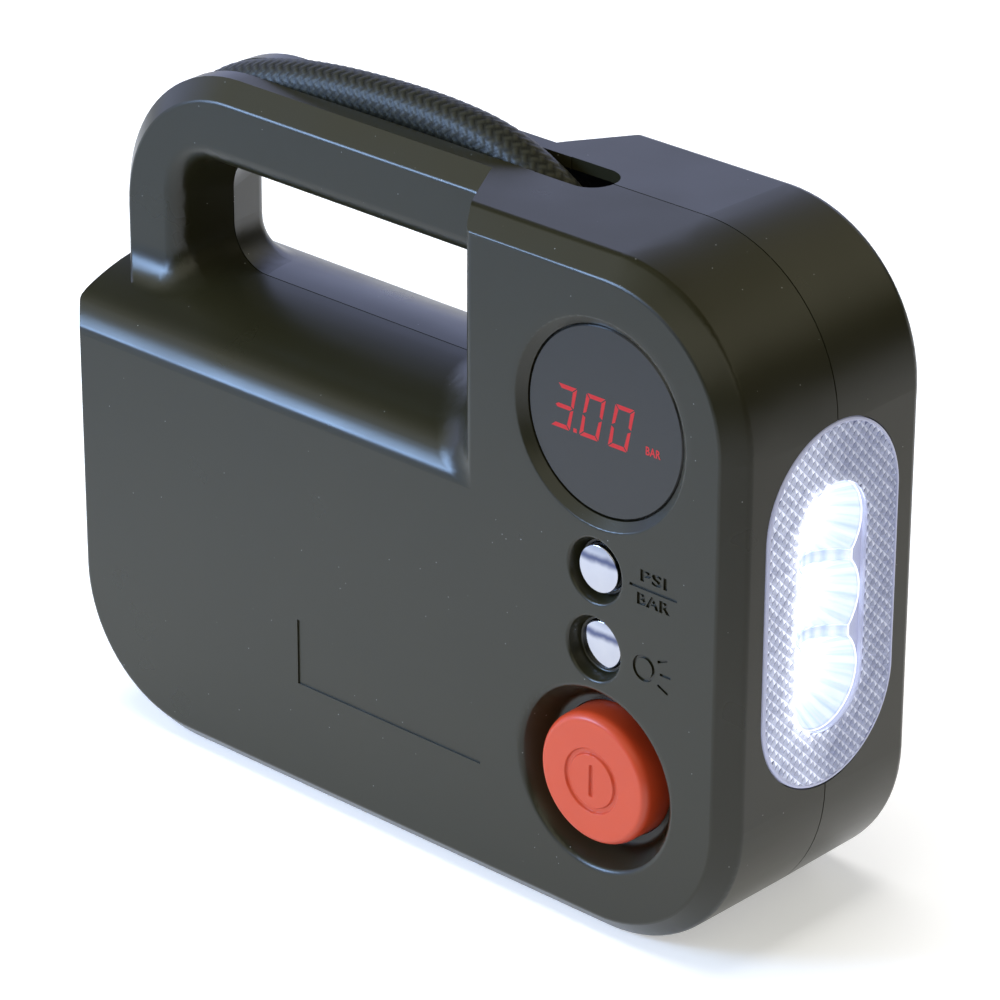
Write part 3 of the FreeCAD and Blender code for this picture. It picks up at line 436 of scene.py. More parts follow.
finishes = {
    "housing": mouldedAbs(),
    "smoked_window": smokedAcrylic(),
    "chrome_cap": platedCap(),
    "power_red": satinRed(),
    "black_plastic": plainPlastic("blackMouldedNylon", "#17181a", "#1e1f22", 0.5),
    "nylon": plainPlastic("naturalAcetal", "#ddd8c8", "#e6e2d4", 0.45),
    "seal_rubber": plainPlastic("nitrileRubber", "#121212", "#191918", 0.7),
    "cell_wrap": plainPlastic("shrunkCellSleeve", "#1c6a86", "#227592", 0.35),
    "brass": turnedMetal("turnedBrass", "#c9a14e", "#d4ae5c", 0.3),
    "bare_aluminium": turnedMetal("turnedAluminium", "#bfc2c5", "#cdd0d2", 0.34),
    "steel": turnedMetal("groundSteel", "#9c9da0", "#aeb0b3", 0.3),
    "circuit_board": solderMask(),
    "reflector": metallisedPlastic(),
    "lens_clear": clearPane(),
    "lamp_light": whiteLed(),
    "hose_braid": plainPlastic("rubberHoseCore", "#141412", "#1a1a17", 0.6),
}


def dressNodes():
    for entry in frame["record"]["subparts"]:
        mesh = nodes[entry["node"]].data
        mesh.materials.clear()
        mesh.materials.append(finishes[entry["material_slot"]])


dressNodes()
print("nodes dressed")


# Marks pressed into the control face: the unit sign beside the unit button, the lamp sign beside the lamp button

letterBold = 0.02  # how far the letters' outlines are set outwards, in the font's own units
marks = {"depth": 0.5 * mm, "above": 0.5 * mm, "passes": ((-0.1, 0.5 * mm), (0.12, 0.47 * mm)), "sharpAngle": 28,
         "upperWord": ("PSI", 81.6, 89.4, 96.6, 99.6), "lowerWord": ("BAR", 80.7, 90.4, 90.6, 93.6),
         "bar": (78.3, 92.5, 94.6, 95.3), "ringCentre": (83.0, 74.9), "ringOuter": 3.35, "ringStroke": 0.85,
         "rays": [(87.1, 77.9, 90.0, 79.2), (87.8, 75.0, 91.1, 75.0), (87.2, 72.1, 90.3, 70.7)], "rayWidth": 0.65}


def wordMesh(word, x0, x1, z0, z1, yLow, yHigh):
    # a word's letters as closed solids, fitted into the rectangle x0..x1, z0..z1 between two depths in y
    curve = bpy.data.curves.new("letters", "FONT")
    curve.body = word
    curve.extrude = 0.5
    curve.offset = letterBold
    curve.space_character = 1.08
    curve.resolution_u = 3
    mesh, points = curveMesh(curve)
    share = (points - points.min(0)) / np.ptp(points, axis=0)
    placed = np.stack([x0 + (x1 - x0) * share[:, 0], yHigh + (yLow - yHigh) * share[:, 2],
                       z0 + (z1 - z0) * share[:, 1]], 1)
    mesh.vertices.foreach_set("co", placed.ravel())
    return mesh


def barBlock(x0, z0, x1, z1, width, yLow, yHigh):
    # a straight stroke from one point to another, as a block with square ends
    start, end = np.array([x0, z0]), np.array([x1, z1])
    along = (end - start) / np.linalg.norm(end - start)
    across = np.array([-along[1], along[0]]) * width / 2
    outline = np.array([start - across, end - across, end + across, start + across])
    return prismBetween(outline, yLow, yHigh)


def prismBetween(outline, yLow, yHigh):
    # a flat outline in x and z carried straight from yLow to yHigh, closed at both ends
    count = len(outline)
    points = np.concatenate([np.stack([outline[:, 0], np.full(count, y), outline[:, 1]], 1) for y in (yLow, yHigh)])
    faces = [list(f) for f in gridFaces(2, count, closeColumns=True)]
    return points, faces + [list(range(count)), list(range(2 * count - 1, count - 1, -1))]


def ringBlock(centre, outer, stroke, yLow, yHigh, count=64):
    # a square section carried once round a circle in the face's plane
    turn = np.linspace(0, 2 * math.pi, count, endpoint=False)
    section = [(outer, yLow), (outer, yHigh), (outer - stroke, yHigh), (outer - stroke, yLow)]
    points = [np.stack([centre[0] + r * np.cos(turn), np.full(count, y), centre[1] + r * np.sin(turn)], 1)
              for r, y in section]
    return np.concatenate(points), gridFaces(4, count, closeRows=True, closeColumns=True).tolist()


def evaluatedMesh(piece):
    bpy.context.view_layer.update()
    graph = bpy.context.evaluated_depsgraph_get()
    return bpy.data.meshes.new_from_object(piece.evaluated_get(graph), depsgraph=graph)


def cutAway(shell, work):
    # takes the closed solids in work out of the shell's mesh
    bmesh.ops.remove_doubles(work, verts=work.verts, dist=1e-8)
    bmesh.ops.recalc_face_normals(work, faces=work.faces)
    cutter = newObject("markCutter", bpy.data.meshes.new("markCutter"))
    work.to_mesh(cutter.data)
    work.clear()
    cut = shell.modifiers.new("marks", "BOOLEAN")
    cut.operation = "DIFFERENCE"
    cut.solver = "MANIFOLD"
    cut.object = cutter
    marked = evaluatedMesh(shell)
    shell.modifiers.clear()
    if len(marked.polygons) == len(shell.data.polygons):
        raise SystemExit("the marks were not cut")
    shell.data = marked
    bpy.data.objects.remove(cutter)


def shadeShell(shell, angle):
    # edges above the angle stay sharp, and weighted normals keep large flats flat beside their rounds
    if "custom_normal" in shell.data.attributes:
        shell.data.attributes.remove(shell.data.attributes["custom_normal"])
    sharpen(shell, angle)
    flats = shell.modifiers.new("flats", "WEIGHTED_NORMAL")
    flats.keep_sharp = True
    shaded = evaluatedMesh(shell)
    shell.modifiers.clear()
    shell.data = shaded


def engraveFace(settings):
    # the control shell's own mesh, merged, with the marks cut into it. The words are cut twice, a little apart,
    # which gives them their heavy strokes
    work = bmesh.new()
    work.from_mesh(nodes["control_shell"].data)
    bmesh.ops.remove_doubles(work, verts=work.verts, dist=2e-7)
    shell = newObject("markedControlShell", bpy.data.meshes.new("markedControlShell"))
    work.to_mesh(shell.data)
    work.clear()
    for shift, depth in settings["passes"]:
        span = (faceY - settings["above"], faceY + depth)
        for word in ("upperWord", "lowerWord"):
            text, x0, x1, z0, z1 = settings[word]
            work.from_mesh(wordMesh(text, (x0 + shift) * mm, (x1 + shift) * mm, z0 * mm, z1 * mm, *span))
        cutAway(shell, work)
    span = (faceY - settings["above"], faceY + settings["depth"])
    x0, x1, z0, z1 = (v * mm for v in settings["bar"])
    solids = [barBlock(x0, (z0 + z1) / 2, x1, (z0 + z1) / 2, z1 - z0, *span)]
    solids += [barBlock(*(v * mm for v in ray), settings["rayWidth"] * mm, *span) for ray in settings["rays"]]
    solids.append(ringBlock([v * mm for v in settings["ringCentre"]], settings["ringOuter"] * mm,
                            settings["ringStroke"] * mm, *span))
    for points, faces in solids:
        mesh = bpy.data.meshes.new("stroke")
        mesh.from_pydata(points.tolist(), [], faces)
        work.from_mesh(mesh)
    cutAway(shell, work)
    work.free()
    shadeShell(shell, settings["sharpAngle"])
    shell.data.materials.clear()
    shell.data.materials.append(finishes["housing"])
    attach(shell, "housing")
    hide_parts("control_shell")
    print("marks cut,", len(shell.data.polygons), "faces")


engraveFace(marks)


# Power button: a turned cap with a soft edge, and the power sign pressed into its top

powerCap = {"centre": (68.2, 40.7), "topY": -35.0, "flatR": 14.7, "flatStep": 0.12, "columns": 360,
            "rounds": [(1.3, 0, 40, 8), (3.0, 40, 85, 12)],  # radius, start and end of the turn in degrees, points
            "side": [(0.15, 8.0), (0.2, 11.7), (0.35, 11.8)],  # past the last round's radius, and depth
            "flange": [(18.4, 11.8), (18.6, 12.0), (18.6, 13.6), (18.4, 13.8)],
            "hollow": [(14.2, 13.8), (14.2, 2.6), (14.0, 2.5), (4.0, 2.5), (4.0, 21.3), (3.8, 21.5), (0.0, 21.5)],
            "signCentre": (68.0, 40.4), "ringR": 7.5, "ringWidth": 1.55, "barHalf": 4.1, "barWidth": 1.4,
            "barRound": 0.6, "signDepth": 0.6, "signEdge": (-0.3, 0.1), "sharpAngle": 50}


def softStep(value, low, high):
    # 0 below low, 1 above high, and smooth between them
    t = np.clip((value - low) / (high - low), 0, 1)
    return t * t * (3 - 2 * t)


def capProfile(settings):
    # the cap's half section as radius and depth below the top: flat, a small round to a slope of 40 degrees, a
    # larger one to 85 degrees, the side, the flange, and the hollow with its stem
    rows = [(r, 0.0) for r in np.arange(0, settings["flatR"], settings["flatStep"])]
    r, depth = settings["flatR"], 0.0
    for radius, start, end, count in settings["rounds"]:
        turn = np.radians(np.linspace(start, end, count))
        centreR = r - radius * math.sin(turn[0])
        centreD = depth + radius * math.cos(turn[0])
        rows += [(centreR + radius * math.sin(t), centreD - radius * math.cos(t)) for t in turn]
        r, depth = rows[-1]
    rows += [(r + past, below) for past, below in settings["side"]]
    return np.array(rows + settings["flange"] + settings["hollow"])


def buildPowerCap(settings):
    profile = capProfile(settings)
    turn = np.linspace(0, 2 * math.pi, settings["columns"], endpoint=False)
    x = settings["centre"][0] + profile[:, :1] * np.cos(turn)
    z = settings["centre"][1] + profile[:, :1] * np.sin(turn)
    depth = np.repeat(profile[:, 1:], settings["columns"], 1)
    u, v = x - settings["signCentre"][0], z - settings["signCentre"][1]
    fromRing = np.abs(np.hypot(u, v) - settings["ringR"]) - settings["ringWidth"] / 2
    pastEnd = np.maximum(np.abs(v) - settings["barHalf"] + settings["barRound"], 0)
    fromBar = np.hypot(u, pastEnd) - settings["barWidth"] / 2
    groove = 1 - softStep(np.minimum(fromRing, fromBar), *settings["signEdge"])
    onTop = (profile[:, :1] <= settings["flatR"]) & (profile[:, 1:] == 0)
    y = settings["topY"] + depth + settings["signDepth"] * groove * onTop
    points = np.stack([x, y, z], -1) * mm
    faces = gridFaces(len(profile), settings["columns"], closeColumns=True)
    piece = meshObject("powerCap", points, faces, finishes["power_red"], "power_button")
    faceOut(piece)
    sharpen(piece, settings["sharpAngle"])
    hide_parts("power_button")
    print("power cap built")


buildPowerCap(powerCap)


# Display: three seven-segment digits, a point and the unit, lit behind the smoked window

digits = {"shown": ("abcdg", "abcdef", "abcdef"), "topLeft": 54.3, "pitch": 8.65, "width": 5.75, "height": 11.0,
          "base": 125.7, "slant": 0.2, "stroke": 1.05, "gap": 0.2, "point": (59.0, 60.0, 125.8, 126.8),
          "unit": ("BAR", 80.75, 85.1, 127.0, 129.1), "windowY": -32.3, "proud": 0.03, "sunk": 0.05}


def segmentOutline(letter, s):
    # a segment of a digit as a mitred stroke, in the upright digit's own square
    w, h, t, g = s["width"], s["height"], s["stroke"], s["gap"]
    m = h / 2
    half = t / 2
    shapes = {
        "a": [(g, h), (t + g, h - t), (w - t - g, h - t), (w - g, h)],
        "d": [(g, 0), (w - g, 0), (w - t - g, t), (t + g, t)],
        "g": [(g + half * 0.3, m), (t, m - half), (w - t, m - half), (w - g - half * 0.3, m), (w - t, m + half),
              (t, m + half)],
        "f": [(0, m + g), (t * 0.8, m + half + g), (t, h - t - g), (0, h - g)],
        "e": [(0, g), (t, t + g), (t * 0.8, m - half - g), (0, m - g)],
    }
    if letter in "bc":
        return [(w - x, z) for x, z in shapes["f" if letter == "b" else "e"]][::-1]
    return shapes[letter]


def buildDigits(s):
    # outlines leant by slant, x' = left + x + slant * z, and carried from just proud of the window into it
    work = bmesh.new()
    span = ((s["windowY"] - s["proud"]) * mm, (s["windowY"] + s["sunk"]) * mm)
    outlines = []
    for k, letters in enumerate(s["shown"]):
        left = s["topLeft"] + k * s["pitch"] - s["slant"] * s["height"]
        for letter in letters:
            x, z = np.array(segmentOutline(letter, s)).T
            outlines.append(np.stack([left + x + s["slant"] * z, s["base"] + z], 1))
    x0, x1, z0, z1 = s["point"]
    outlines.append(np.array([(x0, z0), (x1, z0), (x1, z1), (x0, z1)]))
    for outline in outlines:
        mesh = bpy.data.meshes.new("segment")
        points, faces = prismBetween(outline * mm, *span)
        mesh.from_pydata(points.tolist(), [], faces)
        work.from_mesh(mesh)
    text, *place = s["unit"]
    work.from_mesh(wordMesh(text, *(v * mm for v in place), *span))
    bmesh.ops.remove_doubles(work, verts=work.verts, dist=1e-8)
    bmesh.ops.recalc_face_normals(work, faces=work.faces)
    mesh = bpy.data.meshes.new("litDigits")
    work.to_mesh(mesh)
    work.free()
    piece = newObject("litDigits", mesh)
    mesh.materials.append(redSegment())
    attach(piece, "housing")
    print("digits built")


buildDigits(digits)


# Work lamp: a lens with a fine prismatic grid round a clear three-lobed window, over three fluted reflector cups;
# lens and cups carry painted lamplight

lamp = {"frontX": 109.7, "backX": 107.3, "lowZ": 65.0, "highZ": 110.0, "outlineR": 23.3, "rimWidth": 0.8,
        "rimRound": 0.6, "rimGlow": 0.22, "wallThickness": 0.4, "wallGlow": 0.36, "plateR": 15.0,
        "plateThickness": 0.5, "lipR": 0.22, "lipOffset": 0.05, "paneThickness": 0.6,
        "prismStep": 1.43, "prismHeight": 0.5, "latticeZ": 87.5, "latticeReach": (18, 34),
        "paintedFacetShade": (0.36, 0.70, 0.46, 0.0), "facetLevel": 0.66, "leftGain": 0.34, "leftRamp": (-4.0, 8.0),
        "spillReach": 1.7, "spill": 0.12, "spillLeft": 0.60,
        "cupZ": (67.5, 87.0, 106.0), "cupR": 12.2, "cupFloorR": 2.3, "cupDepth": 9.4, "cupHole": 3.4,
        "cupPower": 1.74, "cupRows": 36, "cupColumns": 300, "cupWall": 0.5, "flutes": 22, "fluteDepth": 0.035,
        "bowlGlow": 0.20, "coreGlow": 0.80, "coreReach": 3.6, "streakGlow": 0.20,
        "ridgeHalf": 1.3, "ridgePoints": 80, "ridgeGlow": 0.3}


def stadiumRing(radius, x, low, high, count=200):
    # an outline at a radius: half circles about a low and a high centre, joined by straight sides
    turn = (np.arange(count) + 0.5) / count * 2 * math.pi
    z = np.where(np.sin(turn) > 0, high, low) + radius * np.sin(turn)
    return np.stack([np.full(count, x), radius * np.cos(turn), z], 1)


def lobedRing(radius, x, perArc=44):
    # the outline of three overlapping circles: each arc stops at the flat ridge between neighbours
    z = lamp["cupZ"]
    lower = math.asin(((z[1] - z[0]) / 2 - lamp["ridgeHalf"]) / radius)
    upper = math.asin(((z[2] - z[1]) / 2 - lamp["ridgeHalf"]) / radius)
    arcs = [(z[0], -math.pi / 2, lower), (z[1], -lower, upper), (z[2], -upper, math.pi / 2)]
    right = [np.stack([radius * np.cos(t), centre + radius * np.sin(t)], 1)
             for centre, start, end in arcs for t in [np.linspace(start, end, perArc)]]
    right = np.concatenate(right)
    left = right[::-1] * (-1, 1)
    loop = np.concatenate([right, left[1:-1]])
    return np.column_stack([np.full(len(loop), x), loop])


def lampPiece(name, points, faces, material, glow=None, smooth=True):
    piece = meshObject(name, points * mm, faces, material, "housing", smooth)
    if glow is not None:
        attribute = piece.data.attributes.new("lamplight", "FLOAT", "POINT")
        attribute.data.foreach_set("value", np.asarray(glow, np.float32).ravel())
    return piece


def lampSleeve(name, rings, material, glow):
    # rings of one section, joined into a closed sleeve with even painted lamplight
    count = len(rings[0])
    faces = gridFaces(len(rings), count, closeRows=True, closeColumns=True)
    lampPiece(name, np.concatenate(rings), faces, material, np.full(len(rings) * count, glow))


def stadiumMove(y, z, low, high, radius, outwards):
    # points on the wrong side of a stadium's edge move straight to it
    centre = np.clip(z, low, high)
    far = np.maximum(np.hypot(y, z - centre), 1e-6)
    wrong = far < radius if outwards else far > radius
    scale = np.where(wrong, radius / far, 1)
    return y * scale, centre + (z - centre) * scale


def buildPrisms(s, material):
    # a square lattice set on its corner: valleys where i + j is even, peaks where it is odd, 1.43 mm apart, each
    # facet flat. Points beyond the lens outline or inside the window slot move to that edge
    reachI, reachJ = s["latticeReach"]
    i, j = np.meshgrid(np.arange(-reachI, reachI + 1), np.arange(-reachJ, reachJ + 1), indexing="ij")
    y, z = i * s["prismStep"], s["latticeZ"] + j * s["prismStep"]
    inner = s["outlineR"] - s["rimWidth"]
    slotLow, slotHigh = s["cupZ"][0], s["cupZ"][-1]
    inside = np.hypot(y, z - np.clip(z, s["lowZ"], s["highZ"])) <= inner
    fromSlot = np.hypot(y, z - np.clip(z, slotLow, slotHigh)) - s["cupR"]
    allowed = inside & (fromSlot >= 0)
    height = np.where((i + j) % 2 == 0, 0.0, s["prismHeight"])
    height = np.where(allowed, height, 0.4 * s["prismHeight"])
    y, z = stadiumMove(y, z, slotLow, slotHigh, s["cupR"], True)
    y, z = stadiumMove(y, z, s["lowZ"], s["highZ"], inner, False)
    rows, columns = i.shape
    index = np.arange(rows * columns).reshape(rows, columns)
    a, b, c, d = index[:-1, :-1], index[1:, :-1], index[1:, 1:], index[:-1, 1:]
    kept = allowed[:-1, :-1] | allowed[1:, :-1] | allowed[1:, 1:] | allowed[:-1, 1:]
    even = ((i + j) % 2 == 0)[:-1, :-1]
    first, second = kept & even, kept & ~even
    corners = [(a, b, c, first), (a, c, d, first), (a, b, d, second), (b, c, d, second)]
    triangles = np.concatenate([np.stack([p[use], q[use], r[use]], 1) for p, q, r, use in corners])
    # the four cases have their peak at b, d, a and c, and so face -y +z, +y -z, ... in turn
    order = np.repeat([2, 3, 1, 0], [first.sum(), first.sum(), second.sum(), second.sum()])
    # painted light and shade: each facet's brightness set by the way it faces
    facetShade = np.array(s["paintedFacetShade"])[order]
    x = s["frontX"] - s["prismHeight"] + height
    points = np.stack([x.ravel(), y.ravel(), z.ravel()], 1)
    # painted lamplight and painted shade: glow = level * shade + near * (0.5 + shade), with shade each facet's
    # painted light and shade by the way it faces. Both grow towards -y, near is the painted light spilt round the
    # slot, and chance, the fraction of a large sine, varies them from corner to corner
    chance = np.modf(np.abs(np.sin(i * 12.9898 + j * 78.233)) * 43758.5453)[0].ravel()
    leftward = softStep(-y.ravel(), *s["leftRamp"])
    spilt = np.exp(-np.maximum(fromSlot.ravel(), 0) / s["spillReach"])
    near = spilt * (s["spill"] + s["spillLeft"] * leftward) * (0.5 + chance)
    level = (s["facetLevel"] + s["leftGain"] * leftward) * (0.8 + 0.4 * chance)
    # every facet keeps its own corners, and with them its own painted light and shade by facing
    loose = points[triangles].reshape(-1, 3)
    facetShades = np.repeat(facetShade, 3)
    glow = np.clip(level[triangles].ravel() * facetShades + near[triangles].ravel() * (0.5 + facetShades), 0, 1)
    sheet = lampPiece("prismaticLens", loose, np.arange(len(loose)).reshape(-1, 3), material, glow, smooth=False)
    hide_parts("lamp_lens")
    return len(triangles)


def buildLens(s):
    prismatic = litMaterial("prismaticPolycarbonate", "#525a86", "#eaefff", 0.05, 1.0, 0.14)
    smoothWall = litMaterial("clearMouldedWall", "#8a8fb4", "#f2f4ff", 0.10, 1.0, 0.12)
    count = buildPrisms(s, prismatic)
    outer, inner = s["outlineR"], s["outlineR"] - s["rimWidth"]
    front, back = s["frontX"], s["backX"]
    edge = (s["lowZ"], s["highZ"])
    slot = (s["cupZ"][0], s["cupZ"][-1])
    # the rim, rounded at its outer front edge
    turn = np.radians(np.linspace(0, 90, 6))
    centreR, centreX = outer - s["rimRound"], front - 0.05 - s["rimRound"]
    section = [(outer, back)]
    section += [(centreR + s["rimRound"] * math.cos(t), centreX + s["rimRound"] * math.sin(t)) for t in turn]
    section += [(inner, front - 0.1), (inner, back)]
    lampSleeve("lensRim", [stadiumRing(r, x, *edge) for r, x in section], smoothWall, s["rimGlow"])
    # the wall round the window slot, from just under the prisms' valleys down to the mouth plate
    top, bottom, wallR = front - s["prismHeight"] - 0.05, back + 0.3, s["cupR"] + s["wallThickness"]
    wall = [(s["cupR"], bottom), (s["cupR"], top), (wallR, top), (wallR, bottom)]
    lampSleeve("windowWall", [stadiumRing(r, x, *slot) for r, x in wall], smoothWall, s["wallGlow"])
    # the plate round the cups' mouths, with painted lamplight brighter towards -y, and the lip on its lobed edge
    mouth = lobedRing(s["cupR"], back)
    outside = mouth.copy()
    outside[:, 1], outside[:, 2] = stadiumMove(mouth[:, 1], mouth[:, 2], *slot, s["plateR"], True)
    down = (s["plateThickness"], 0, 0)
    sheet = np.concatenate([mouth, outside, outside - down, mouth - down])
    glow = np.tile(s["wallGlow"] + (1 - s["wallGlow"]) * softStep(-mouth[:, 1], -1.0, 6.0), 4)
    lampPiece("mouthPlate", sheet, gridFaces(4, len(mouth), closeRows=True, closeColumns=True), smoothWall, glow)
    turn = np.linspace(0, 2 * math.pi, 8, endpoint=False)
    centreR, centreX = s["cupR"] + s["lipOffset"], back + s["lipOffset"]
    lip = [(centreR + s["lipR"] * math.cos(t), centreX + s["lipR"] * math.sin(t)) for t in turn]
    lampSleeve("mouthLip", [lobedRing(r, x) for r, x in lip], smoothWall, 1.0)
    # the clear pane across the slot
    outline = stadiumRing(s["cupR"] - 0.02, front - 0.6, *slot)
    pane = np.concatenate([outline, outline - (s["paneThickness"], 0, 0)])
    n = len(outline)
    faces = gridFaces(2, n, closeColumns=True).tolist() + [list(range(n)), list(range(2 * n - 1, n - 1, -1))]
    lampPiece("clearPane", pane, faces, finishes["lens_clear"], smooth=False)
    for name in ("lensRim", "windowWall", "mouthPlate", "mouthLip", "clearPane"):
        faceOut(bpy.data.objects[name])
    for name in ("lensRim", "windowWall", "mouthPlate"):
        sharpen(bpy.data.objects[name], 40)
    print("lens built,", count, "facets")


def buildCups(s):
    # a bowl about each light: depth(r) = cupDepth * (1 - rise), rise = ((r - hole) / (rim - hole)) ^ power, fluted
    # round its axis, and cut off at the flat ridge between it and its neighbour
    metallised = litMaterial("litMetallisedBowl", "#a9bce0", "#ffffff", 0.50, 1.5, 0.2)
    rows, columns = s["cupRows"], s["cupColumns"]
    share = np.linspace(0, 1, rows)[:, None]
    turn = np.linspace(0, 2 * math.pi, columns, endpoint=False)[None, :]
    points, glow, faces = [], [], []

    def riseAt(r):
        return (np.maximum(r - s["cupHole"], 0) / (s["cupR"] - s["cupHole"])) ** s["cupPower"]

    for k, centre in enumerate(s["cupZ"]):
        reach = np.full(turn.shape, s["cupR"])
        for other in s["cupZ"][max(k - 1, 0):k] + s["cupZ"][k + 1:k + 2]:
            half = abs(other - centre) / 2 - s["ridgeHalf"]
            along = np.sin(turn) * np.sign(other - centre)
            reach = np.where(along > 1e-3, np.minimum(reach, half / np.maximum(along, 1e-3)), reach)
        r = s["cupHole"] + share * (reach - s["cupHole"])
        rise = riseAt(r)
        r[0] = s["cupFloorR"]
        flute = np.cos(s["flutes"] * turn) * softStep(r, 3.5, 7.0) * softStep(s["cupR"] - r, 0.0, 1.5)
        x = s["backX"] - s["cupDepth"] * (1 - rise) + s["fluteDepth"] * flute
        points.append(np.stack([x, r * np.cos(turn), centre + r * np.sin(turn)], -1).reshape(-1, 3))
        # painted lamplight: glow = bowl + core falling off as a bell curve + streaks that run out from the light,
        # painted reflections of it in the flutes
        streak = (0.5 + 0.5 * np.sin(5 * turn + 1.3 * k + 0.1 * r) * np.sin(19 * turn + 2.1 * k)
                  + 0.15 * np.sin(53 * turn + k))
        core = np.exp(-((r - s["cupHole"]) / s["coreReach"]) ** 2)
        lit = s["bowlGlow"] + s["coreGlow"] * core + s["streakGlow"] * streak * softStep(r, 4.0, 8.0)
        glow.append(np.clip(lit, 0, 1).ravel())
        faces.append(gridFaces(rows, columns, closeColumns=True, first=k * rows * columns))
    count = s["ridgePoints"]
    for k, (low, high) in enumerate(zip(s["cupZ"], s["cupZ"][1:])):
        # the ridge follows the two bowls' cut edges across the lamp, with a painted lamplight of its own
        half = (high - low) / 2 - s["ridgeHalf"]
        y = np.linspace(1, -1, count) * math.sqrt(s["cupR"] ** 2 - half ** 2)
        x = s["backX"] - s["cupDepth"] * (1 - riseAt(np.hypot(y, half)))
        points.append(np.concatenate([np.stack([x, y, np.full(count, z)], 1) for z in (low + half, high - half)]))
        glow.append(np.tile(s["ridgeGlow"] + 0.1 * np.sin(2.2 * y + k), 2))
        faces.append(gridFaces(2, count, first=3 * rows * columns + k * 2 * count))
    points, glow, faces = np.concatenate(points), np.concatenate(glow), np.concatenate(faces)
    cups = lampPiece("flutedReflector", points, faces, metallised, glow)
    wall = cups.modifiers.new("wall", "SOLIDIFY")
    wall.thickness = s["cupWall"] * mm
    wall.offset = -1
    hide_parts("lamp_reflector")
    print("reflector built")


buildLens(lamp)
buildCups(lamp)


# Housing screws: seven cross-recessed heads at the bottom of their wells in the rear face

screws = {"places": [(-93.5, 21.8), (46, 10), (89.7, 17.5), (-84, 92), (0, 92), (93.5, 147), (60, 161.5)],
          "seatY": 26.3, "headR": 2.9, "headHeight": 1.9, "slotHalf": 1.75, "slotWidth": 0.55, "slotDepth": 1.1,
          "columns": 72}


def buildScrews(s):
    # a pan head: height(r) = H * sqrt(1 - 0.75 (r / R)^2) with a soft cross pressed in, on a polar grid
    share = np.concatenate([np.linspace(0, 0.98, 26), [1.0, 1.0]])[:, None]
    rows, columns = len(share), s["columns"]
    turn = np.linspace(0, 2 * math.pi, columns, endpoint=False)[None, :]
    r = s["headR"] * share
    u, v = r * np.cos(turn), r * np.sin(turn)
    across, along = np.minimum(np.abs(u), np.abs(v)), np.maximum(np.abs(u), np.abs(v))
    arm = np.maximum(across - s["slotWidth"], along - s["slotHalf"])
    height = s["headHeight"] * np.sqrt(1 - 0.75 * share ** 2) - s["slotDepth"] * (1 - softStep(arm, -0.25, 0.1))
    height[-1] = 0.0
    points = [np.stack([x + u, s["seatY"] + height, z + v], -1).reshape(-1, 3) for x, z in s["places"]]
    one = gridFaces(rows, columns, closeColumns=True)
    faces = np.concatenate([one + k * rows * columns for k in range(len(points))]).tolist()
    ends = [(k + 1) * rows * columns for k in range(len(points))]
    faces += [list(range(end - columns, end)) for end in ends]  # each head's underside
    piece = meshObject("housingScrews", np.concatenate(points) * mm, faces, finishes["steel"], "housing")
    faceOut(piece)
    sharpen(piece, 40)
    print("screws built")


buildScrews(screws)


# Studio: a pale glowing floor with painted shade that dims it a little away from the object, and painted cool
# window light on it; a cool window light from the left, a soft light overhead, and a dim room that is pale low on
# the left, and higher at the back and the front

studio = {"floorGlow": 0.42, "floorCodes": ("#e8e8ea", "#e6e6e8"), "paintedShadeCode": "#8c8c8c", "paintedWindowTint": "#b4c3ee",
          "floorReach": 6.0, "floorPatch": 0.4,
          "fades": [((1, 0, 0), 0.15, 0.38, 0.5), ((-0.68, -0.73, 0), 0.15, 0.5, 0.45)],  # heading, from, to, least
          "lights": [{"name": "windowLight", "toward": (-0.61, -0.70, 0.36), "away": 1.2, "size": (0.5, 0.35),
                      "power": 16.0, "code": "#a6ccff", "glossy": True},
                     {"name": "topLight", "toward": (-0.09, 0.0, 1.0), "away": 1.5, "size": (1.1, 1.1),
                      "power": 20.0, "code": "#fffdf8", "glossy": False}],
          "leftGlow": (0.76, 0.86, 1.34), "backGlow": (0.85, 0.82, 0.62),
          "roomGlow": (0.03, 0.03, 0.022), "frontGlow": (1.1, 1.06, 0.86)}


